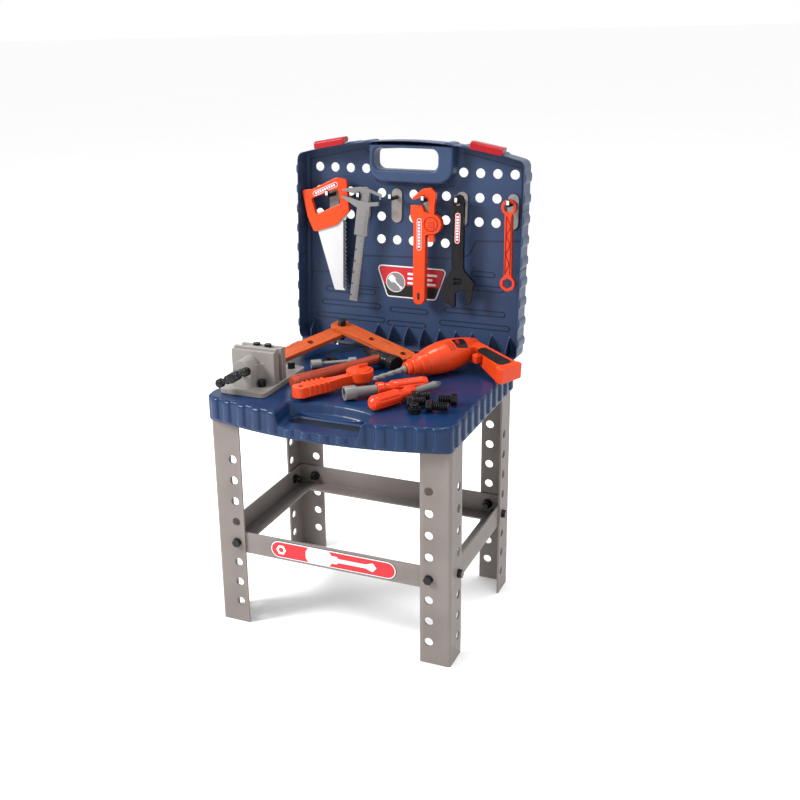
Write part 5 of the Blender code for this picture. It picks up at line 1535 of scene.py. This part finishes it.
def build_drill_label(at):
    """A printed patch, and three vent lines in a darker orange that paints the shade of their grooves, all
    following the drill's round body.
    """
    patch = rounded(mm((92, -18), (115, -19), (116, -3), (93, -1)), 0.003)
    cover = detail("drill_label", prism(patch, 0.0100, 0.0262), "label_black", at, "drill", bevel=0.0004)
    inner = drill_skin((25.9, 70.0), (26.1, 76.0), (25.9, 95.0), (23.1, 115.0), (21.0, 124.0))
    outer = drill_skin((26.5, 70.0), (26.6, 76.0), (26.4, 95.0), (23.7, 115.0), (21.6, 124.0))
    combine(cover, hidden(cover, outer), "INTERSECT")
    cut(cover, inner)
    vents = [prism(rectangle(x, x + 0.0013, -0.019, -0.003), 0.0100, 0.0262) for x in (0.079, 0.083, 0.087)]
    lines = detail("drill_vents", gathered(vents), "orange_line", at, "drill", bevel=0.0)
    combine(lines, hidden(lines, drill_skin((26.3, 70.0), (26.4, 76.0), (26.2, 95.0))), "INTERSECT")
    cut(lines, drill_skin((25.8, 69.0), (25.8, 76.0), (25.6, 96.0)))


def build_drill_grip(at):
    """A soft pad on the drill's grip with rows of raised dots, shifted by half a step in turn."""
    pad = rounded(mm((117, -36), (137, -30), (136, -102), (110, -98)), 0.0085)
    detail("drill_grip_pad", prism(pad, 0.0139, 0.0146), "label_black", at, "drill", bevel=0.0002)
    dots = []
    for row in range(16):
        for column in range(5):
            down = 36.5 + 4.1 * row
            along = 119.5 + 3.9 * column + 1.9 * (row % 2) - 0.045 * (down - 36)
            if along < 135.5 - 0.02 * (down - 36):
                dot = lathe(mm((1.25, 14.5), (1.0, 15.1), (0.5, 15.3)), 4)
                dots.append(moved(dot, Matrix.Translation((along * MM, -down * MM, 0))))
    detail("drill_grip_dots", gathered(dots), "tool_black", at, "drill", bevel=0.0)


def build_drill_details(at):
    """What is printed on the drill or stands out a little from it."""
    build_drill_label(at)
    build_drill_grip(at)
    ring = drill_skin((13.9, 19.0), (14.6, 19.5), (14.6, 21.5), (13.9, 22.0))
    detail("drill_nose_ring", ring, "tool_orange", at, "drill", bevel=0.0001)


def build_teeth(lid):
    """The dark printed edge along the saw's teeth, and the label on its handle."""
    place = peg_frame(-5)
    band = from_peg(-5, (-117.6, 94.5), *saw_teeth(-114.8, -117.4), (-114.8, 216), (-120.2, 216),
                    (-120.2, TOOTH_FOOT))
    detail("saw_tooth_band", plate(band, 0.0131, 0.0134), "tooth_dark", lid, "saw", place, 0.0)
    at = group("saw_badge", place, lid)
    ends = from_peg(-5, (-172.0, 259.0), (-133.5, 276.0))
    strip_badge("saw", ends, 0.0042, 0.0100, at, "saw")


def strip_badge(name, ends, radius, face, parent, body):
    """A long printed label with a white border and a row of plain white marks."""
    (x0, h0), (x1, h1) = ends
    outline = stadium(x0, h0, x1, h1, radius)
    badge(f"{name}_label", outline, face, 0.0003, (("label_white", 0), ("label_red", 0.0009)), parent, body)
    reach = Vector((x1 - x0, h1 - h0))
    along = reach.normalized()
    across = Vector((-along.y, along.x)) * (radius - 0.0022)
    bars = []
    for k in range(STRIP_MARKS):
        middle = Vector((x0, h0)) + reach * ((k + 0.5) / STRIP_MARKS)
        width = along * (0.30 * reach.length / STRIP_MARKS)
        corners = (middle - width - across, middle + width - across,
                   middle + width + across, middle - width + across)
        bars.append(plate([tuple(c) for c in corners], face - 0.0009, face - 0.0005))
    detail(f"{name}_label_marks", gathered(bars), "label_white", parent, body, bevel=0.0)


def line_relief(points, width, near, far):
    """Narrow raised lines through a row of points, round at every corner."""
    return [plate(stadium(*a, *b, width / 2, 2), near, far) for a, b in zip(points, points[1:])]


def peg_slot(column, start, end, radius):
    """A slot outline between two places that are given on the board in millimetres."""
    (x0, h0), (x1, h1) = from_peg(column, start, end)
    return stadium(x0, h0, x1, h1, radius)


def build_pipe_wrench_details(lid):
    """The pipe wrench's label, the ring and window around its nut, with the ring and the nut's ribs in a
    darker orange as painted shade, and its hanging slot as a black sheet of painted shade.
    """
    place = group("pipe_wrench_badge", peg_frame(1), lid)
    body = "pipe_wrench_body"
    strip_badge("pipe_wrench", from_peg(1, (23.6, 178), (23.0, 224)), 0.0040, 0.0050, place, body)
    middle = from_peg(1, (43.5, 219))[0]
    ring = plate(circle(*middle, 0.0125, 14), 0.0043, 0.0052, [opening(circle(*middle, 0.0112, 14))])
    detail("pipe_wrench_ring", ring, "orange_line", place, body)
    window = rounded(from_peg(1, (37.5, 211), (49, 211), (49, 225), (37.5, 225)), 0.0012)
    detail("pipe_wrench_nut", plate(window, 0.0036, 0.0052), "tool_orange", place, body, bevel=0.0008)
    grooves = []
    for h in (213.5, 216.5, 219.5, 222.5):
        (x0, h0), (x1, h1) = from_peg(1, (38.5, h), (48, h + 1.0))
        grooves.append(slab(x0, x1, 0.0033, 0.0038, h0, h1))
    detail("pipe_wrench_nut_ribs", gathered(grooves), "orange_line", place, body)
    # a black sheet in place of the hanging slot: painted shade of the opening
    slot = peg_slot(1, (24.0, 92), (23.8, 100), 0.0022)
    printed("pipe_wrench_hole", slot, 0.0047, 0.0053, "label_black", place, body)


def build_adjustable_wrench_details(lid):
    """The adjustable wrench's label, the raised edge of its handle and the rim of its hole."""
    place = group("adjustable_wrench_badge", peg_frame(3), lid)
    body = "adjustable_wrench"
    strip_badge(body, from_peg(3, (90.0, 194), (90.0, 236)), 0.0042, 0.0066, place, body)
    ends = ((88.6, 156), (88.9, 240))
    rim = plate(peg_slot(3, *ends, 0.0072), 0.0062, 0.0073, [opening(peg_slot(3, *ends, 0.0060))])
    detail("adjustable_wrench_rim", rim, "tool_black", place, body, bevel=0.0003)
    hole = opening(circle(0, EYE_DROP, 0.0062, 14))
    eye = plate(circle(0, EYE_DROP, 0.0085, 14), 0.0062, 0.0073, [hole])
    detail("adjustable_wrench_eye", eye, "tool_black", place, body, bevel=0.0003)


def build_box_wrench_details(lid):
    """A raised zigzag between two raised lines along the box wrench, in a darker red that paints their shade.
    """
    place = group("box_wrench_badge", peg_frame(6), lid)
    zigzag = [(179.6 if k % 2 else 173.0, 146 + 15.4 * k) for k in range(7)]
    lines = line_relief(from_peg(6, *zigzag), 0.0012, 0.0072, 0.0083)
    for x0, x1 in ((172.7, 171.9), (181.0, 180.2)):
        lines += line_relief(from_peg(6, (x0, 144), (x1, 239)), 0.0012, 0.0070, 0.0083)
    detail("box_wrench_relief", gathered(lines), "red_line", place, "box_wrench", bevel=0.0)


def build_caliper_details(lid):
    """The scales: ticks and figures' places on the beam, and a vernier on the slider."""
    place = group("caliper_scale", caliper_frame(), lid)
    ticks = []
    for k in range(27):
        z = -0.174 + 0.004 * k
        ticks.append(slab(0.0150 if k % 5 else 0.0125, 0.0185, 0.0047, 0.0050, z, z + 0.0006))
    detail("caliper_ticks", gathered(ticks), "tooth_dark", place, "caliper", bevel=0.0)
    marks = [slab(0.0045, 0.0075, 0.0047, 0.0050, -0.171 + 0.020 * k, -0.168 + 0.020 * k) for k in range(5)]
    detail("caliper_marks", gathered(marks), "tooth_dark", place, "caliper", bevel=0.0)
    vernier = [slab(0.0165, 0.0215, 0.0023, 0.0027, -0.060 + 0.003 * k, -0.0594 + 0.003 * k)
               for k in range(14)]
    detail("caliper_slider_ticks", gathered(vernier), "tooth_dark", place, "caliper_slider", bevel=0.0)


def loop_plate(outline, width, near, far):
    """A raised line of that width just inside a closed outline."""
    return plate(outline, near, far, [opening(inset(outline, width))])


def long_loop(x0, x1, h, radius, near, far):
    """A raised line around a level slot shape."""
    hole = opening(stadium(x0, h, x1, h, radius - LOOP_LINE))
    return plate(stadium(x0, h, x1, h, radius), near, far, [hole])


def board_relief():
    """Raised lines on the peg board's face: a border, a step, and long loops for lying tools."""
    near = LID_PANEL - BOARD_LINE[0]
    far = LID_PANEL + BOARD_LINE[1]
    border = mm((-192, 100), (-192, 315), (-90, 336.5), (-80, 327), (-79, 300), (-66, 282), (-50, 277),
                (60, 277), (72, 281))
    step = mm((86, 335), (95, 333), (187, 313), (190, 196), (113, 191), (101, 167), (68, 159), (-118, 152),
              (-126, 122), (-192, 117))
    tongue = mm((-118, 152), (-118, 100), (-60, 98))
    lines = []
    for route in (border, step, tongue):
        lines += line_relief(route, 0.0013, near, far)
    for x0, x1, h in LOOPS:
        lines.append(long_loop(*in_mm(x0, x1, h), 0.0048, near, far))
    return lines


def back_relief():
    """Raised lines on the lid's back: a border, two nested panels and five long loops."""
    near = LID_DEPTH - BACK_LINE[0]
    far = LID_DEPTH + BACK_LINE[1]
    panel = rounded(mm((-165, 22), (165, 22), (165, 165), (-165, 165)), 0.016)
    lines = [loop_plate(inset(lid_outline(), 0.013), 0.0016, near, far),
             loop_plate(panel, 0.0016, near, far),
             loop_plate(inset(panel, 0.010), 0.0011, near, far)]
    lines += [long_loop(-0.118, 0.118, 0.052 + 0.0205 * k, 0.0053, near, far) for k in range(5)]
    return lines


def build_lid_relief(lid):
    """Every raised line on the lid, coloured a darker navy as painted shade, and the strips below it that
    close the view past the hinge.
    """
    sides = [slab(x - 0.0012, x + 0.0012, 0.0040, LID_PANEL, h, h + 0.0022)
             for x in (-0.2005, 0.2005) for h in SIDE_RIBS]
    aprons = [slab(x0, x1, 0.0034, 0.0052, -0.0070, 0.0030) for x0, x1 in APRONS]
    detail("lid_aprons", gathered(aprons), "lid_navy", lid, "lid", bevel=0.0003)
    lines = gathered([*board_relief(), *sides, *back_relief()])
    detail("lid_relief", lines, "lid_line", lid, "lid", bevel=0.0)


def build_table_details(bench):
    """A dark sheet lining the slot as its painted shade, the finger ribs in the darker navy of painted shade,
    and two bolt heads on the vise's rear plate.
    """
    hollow = opening(inset(slot_outline(), 0.0009))
    shade_sheet = prism(inset(slot_outline(), 0.0001), SKIRT_BOTTOM + 0.0022, RECESS_FLOOR - SLOT_LIP, [hollow])
    detail("slot_liner", shade_sheet, "slot_dark", bench, "bench", bevel=0.0)
    ribs = []
    for k in range(27):
        place = Matrix.Translation((RECESS_X - 0.052 + 0.004 * k, SLOT_BACK + 0.0003, 0.3600))
        ribs.append(moved(rod(0.0009, 0.0, 0.0085, 4), place))
    detail("slot_finger_ribs", gathered(ribs), "lid_line", bench, "bench", bevel=0.0)
    for number, (x, y) in enumerate(VISE_CAPS, 1):
        head = stacked([(0.0, "round", 0.0045), (0.0006, "hex", 0.0115), (0.0036, "hex", 0.0115),
                        (0.0042, "hex", 0.0102)])
        place = Matrix.Translation((x, y, VISE_TOP - 0.0008))
        detail(f"vise_cap_bolt_{number}", head, "bolt_black", bench, "bench", place, 0.0003)


# ---- build --------------------------------------------------------------------------------
BENCH = group("bench_frame", Matrix.Translation(BENCH_SHIFT))
build_bench_top(BENCH)
build_legs(BENCH)
build_rails(BENCH)
build_rail_bolts(BENCH)
LID = build_lid_parts(BENCH)
build_saw(LID)
build_caliper(LID)
build_pipe_wrench(LID)
build_adjustable_wrench(LID)
build_box_wrench(LID)
build_vise(BENCH)
build_planks(BENCH)
build_hammer(BENCH)
build_ratchet(BENCH)
build_nut_driver(BENCH)
build_screwdriver(BENCH)
build_socket_wrench(BENCH)
build_washer(BENCH)
DRILL = build_drill(BENCH)
build_lid_label(LID)
build_rail_label(BENCH)
build_loose_bolts(BENCH)
build_drill_details(DRILL)
build_teeth(LID)
build_pipe_wrench_details(LID)
build_adjustable_wrench_details(LID)
build_box_wrench_details(LID)
build_caliper_details(LID)
build_table_details(BENCH)
build_lid_relief(LID)


# ---- finishing: solid pieces with softened edges, riding on the frame's bodies -------------
def finished(name, obj):
    """Applies the Booleans, keeps the piece where it stands, and softens its edges."""
    graph = bpy.context.evaluated_depsgraph_get()
    mesh = bpy.data.meshes.new_from_object(obj.evaluated_get(graph))
    world = obj.matrix_world.copy()
    obj.modifiers.clear()
    obj.data = mesh
    obj.parent = None
    obj.matrix_world = world
    bm = bmesh.new()
    bm.from_mesh(mesh)
    bmesh.ops.remove_doubles(bm, verts=bm.verts, dist=0.00001)
    bmesh.ops.dissolve_limit(bm, angle_limit=math.radians(0.8), verts=bm.verts, edges=bm.edges)
    bm.to_mesh(mesh)
    bm.free()
    mesh.shade_smooth()
    if name in MELTS:
        melt(obj, *MELTS[name])
        return
    width = BEVELS.get(name, BEVEL)
    if width:
        bevel = obj.modifiers.new("Soft edges", "BEVEL")
        bevel.width = width
        bevel.segments = 2
        bevel.limit_method = "ANGLE"
        bevel.angle_limit = math.radians(32)
        bevel.use_clamp_overlap = True
        bevel.harden_normals = False
        bevel.miter_outer = "MITER_ARC"
    mesh.set_sharp_from_angle(angle=math.radians(38))
    if width:
        weighted = obj.modifiers.new("Even shading", "WEIGHTED_NORMAL")
        weighted.keep_sharp = True
        weighted.weight = 80


def melt(obj, voxel, rounds, keep):
    """Rounds every edge and corner, inside and out, as a mould does."""
    remesh = obj.modifiers.new("Remesh", "REMESH")
    remesh.mode = "VOXEL"
    remesh.voxel_size = voxel
    smooth = obj.modifiers.new("Smooth", "SMOOTH")
    smooth.factor = 0.5
    smooth.iterations = rounds
    thin = obj.modifiers.new("Thin out", "DECIMATE")
    thin.ratio = keep
    graph = bpy.context.evaluated_depsgraph_get()
    mesh = bpy.data.meshes.new_from_object(obj.evaluated_get(graph))
    obj.modifiers.clear()
    obj.data = mesh
    mesh.shade_smooth()


def settle():
    """Finishes every piece, clears the helpers away, and hands the pieces to the frame."""
    bpy.context.view_layer.update()
    for name, obj in LOOKS.items():
        finished(name, obj)
    kept = set(LOOKS.values()) | set(frame["nodes"].values()) | set(frame["bodies"].values())
    for obj in list(bpy.data.objects):
        if obj not in kept:
            bpy.data.objects.remove(obj)
    for name, obj in LOOKS.items():
        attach(obj, BODY_OF[name])
        if name in frame["nodes"]:
            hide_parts(name)


settle()


# ---- studio -------------------------------------------------------------------------------
def area_light(name, location, height, size, power):
    """A round lamp aimed at the bench's middle, at that height."""
    data = bpy.data.lights.new(name, "AREA")
    data.shape = "DISK"
    data.size = size
    data.energy = power
    light = bpy.data.objects.new(name, data)
    bpy.context.scene.collection.objects.link(light)
    light.location = location
    aim = Vector((0.0, 0.0, height)) - light.location
    light.rotation_euler = aim.to_track_quat("-Z", "Y").to_euler()


def build_camera():
    """A view from the front left, a little above the table, with a long lens."""
    yaw, pitch, roll = (math.radians(a) for a in CAMERA_ANGLES)
    across = math.cos(pitch)
    ahead = Vector((-math.sin(yaw) * across, math.cos(yaw) * across, math.sin(pitch)))
    level = Vector((math.cos(yaw), math.sin(yaw), 0.0))
    above = level.cross(ahead)
    right = math.cos(roll) * level + math.sin(roll) * above
    up = -math.sin(roll) * level + math.cos(roll) * above
    data = bpy.data.cameras.new("camera")
    data.sensor_width = 36.0
    data.lens = CAMERA_LENS
    data.shift_x, data.shift_y = CAMERA_SHIFT
    data.clip_end = 30.0
    data.dof.use_dof = False
    camera = bpy.data.objects.new("camera", data)
    bpy.context.scene.collection.objects.link(camera)
    turn = Matrix((right, up, -ahead)).transposed().to_4x4()
    camera.matrix_world = Matrix.Translation(CAMERA_PLACE + BENCH_SHIFT) @ turn
    bpy.context.scene.camera = camera


def build_floor():
    """A plain pale floor, just under the feet."""
    bm = bmesh.new()
    bmesh.ops.create_grid(bm, x_segments=8, y_segments=8, size=40.0)
    made, nodes, link, shader, where = shaded("floor")
    stops = [(0.3, (0.96, 0.96, 0.96)), (0.7, (0.97, 0.97, 0.97))]
    pale = ramp(nodes, link, noise(nodes, link, where, 2.0), stops)
    link(pale, shader.inputs["Base Color"])
    shader.inputs["Roughness"].default_value = 0.9
    shader.inputs["Specular IOR Level"].default_value = 0.1
    floor = bpy.data.objects.new("floor", as_mesh(bm, "floor"))
    bpy.context.scene.collection.objects.link(floor)
    floor.data.materials.append(made)
    floor.location.z = -0.0005


def build_world():
    """Even white light from all around."""
    world = bpy.data.worlds.new("studio")
    world.use_nodes = True
    background = world.node_tree.nodes["Background"]
    background.inputs["Color"].default_value = (1.0, 1.0, 1.0, 1.0)
    background.inputs["Strength"].default_value = 1.0
    bpy.context.scene.world = world
    bpy.context.scene.view_settings.view_transform = "Standard"


build_camera()
build_floor()
build_world()
for lamp, values in LIGHTS.items():
    area_light(lamp, *values)
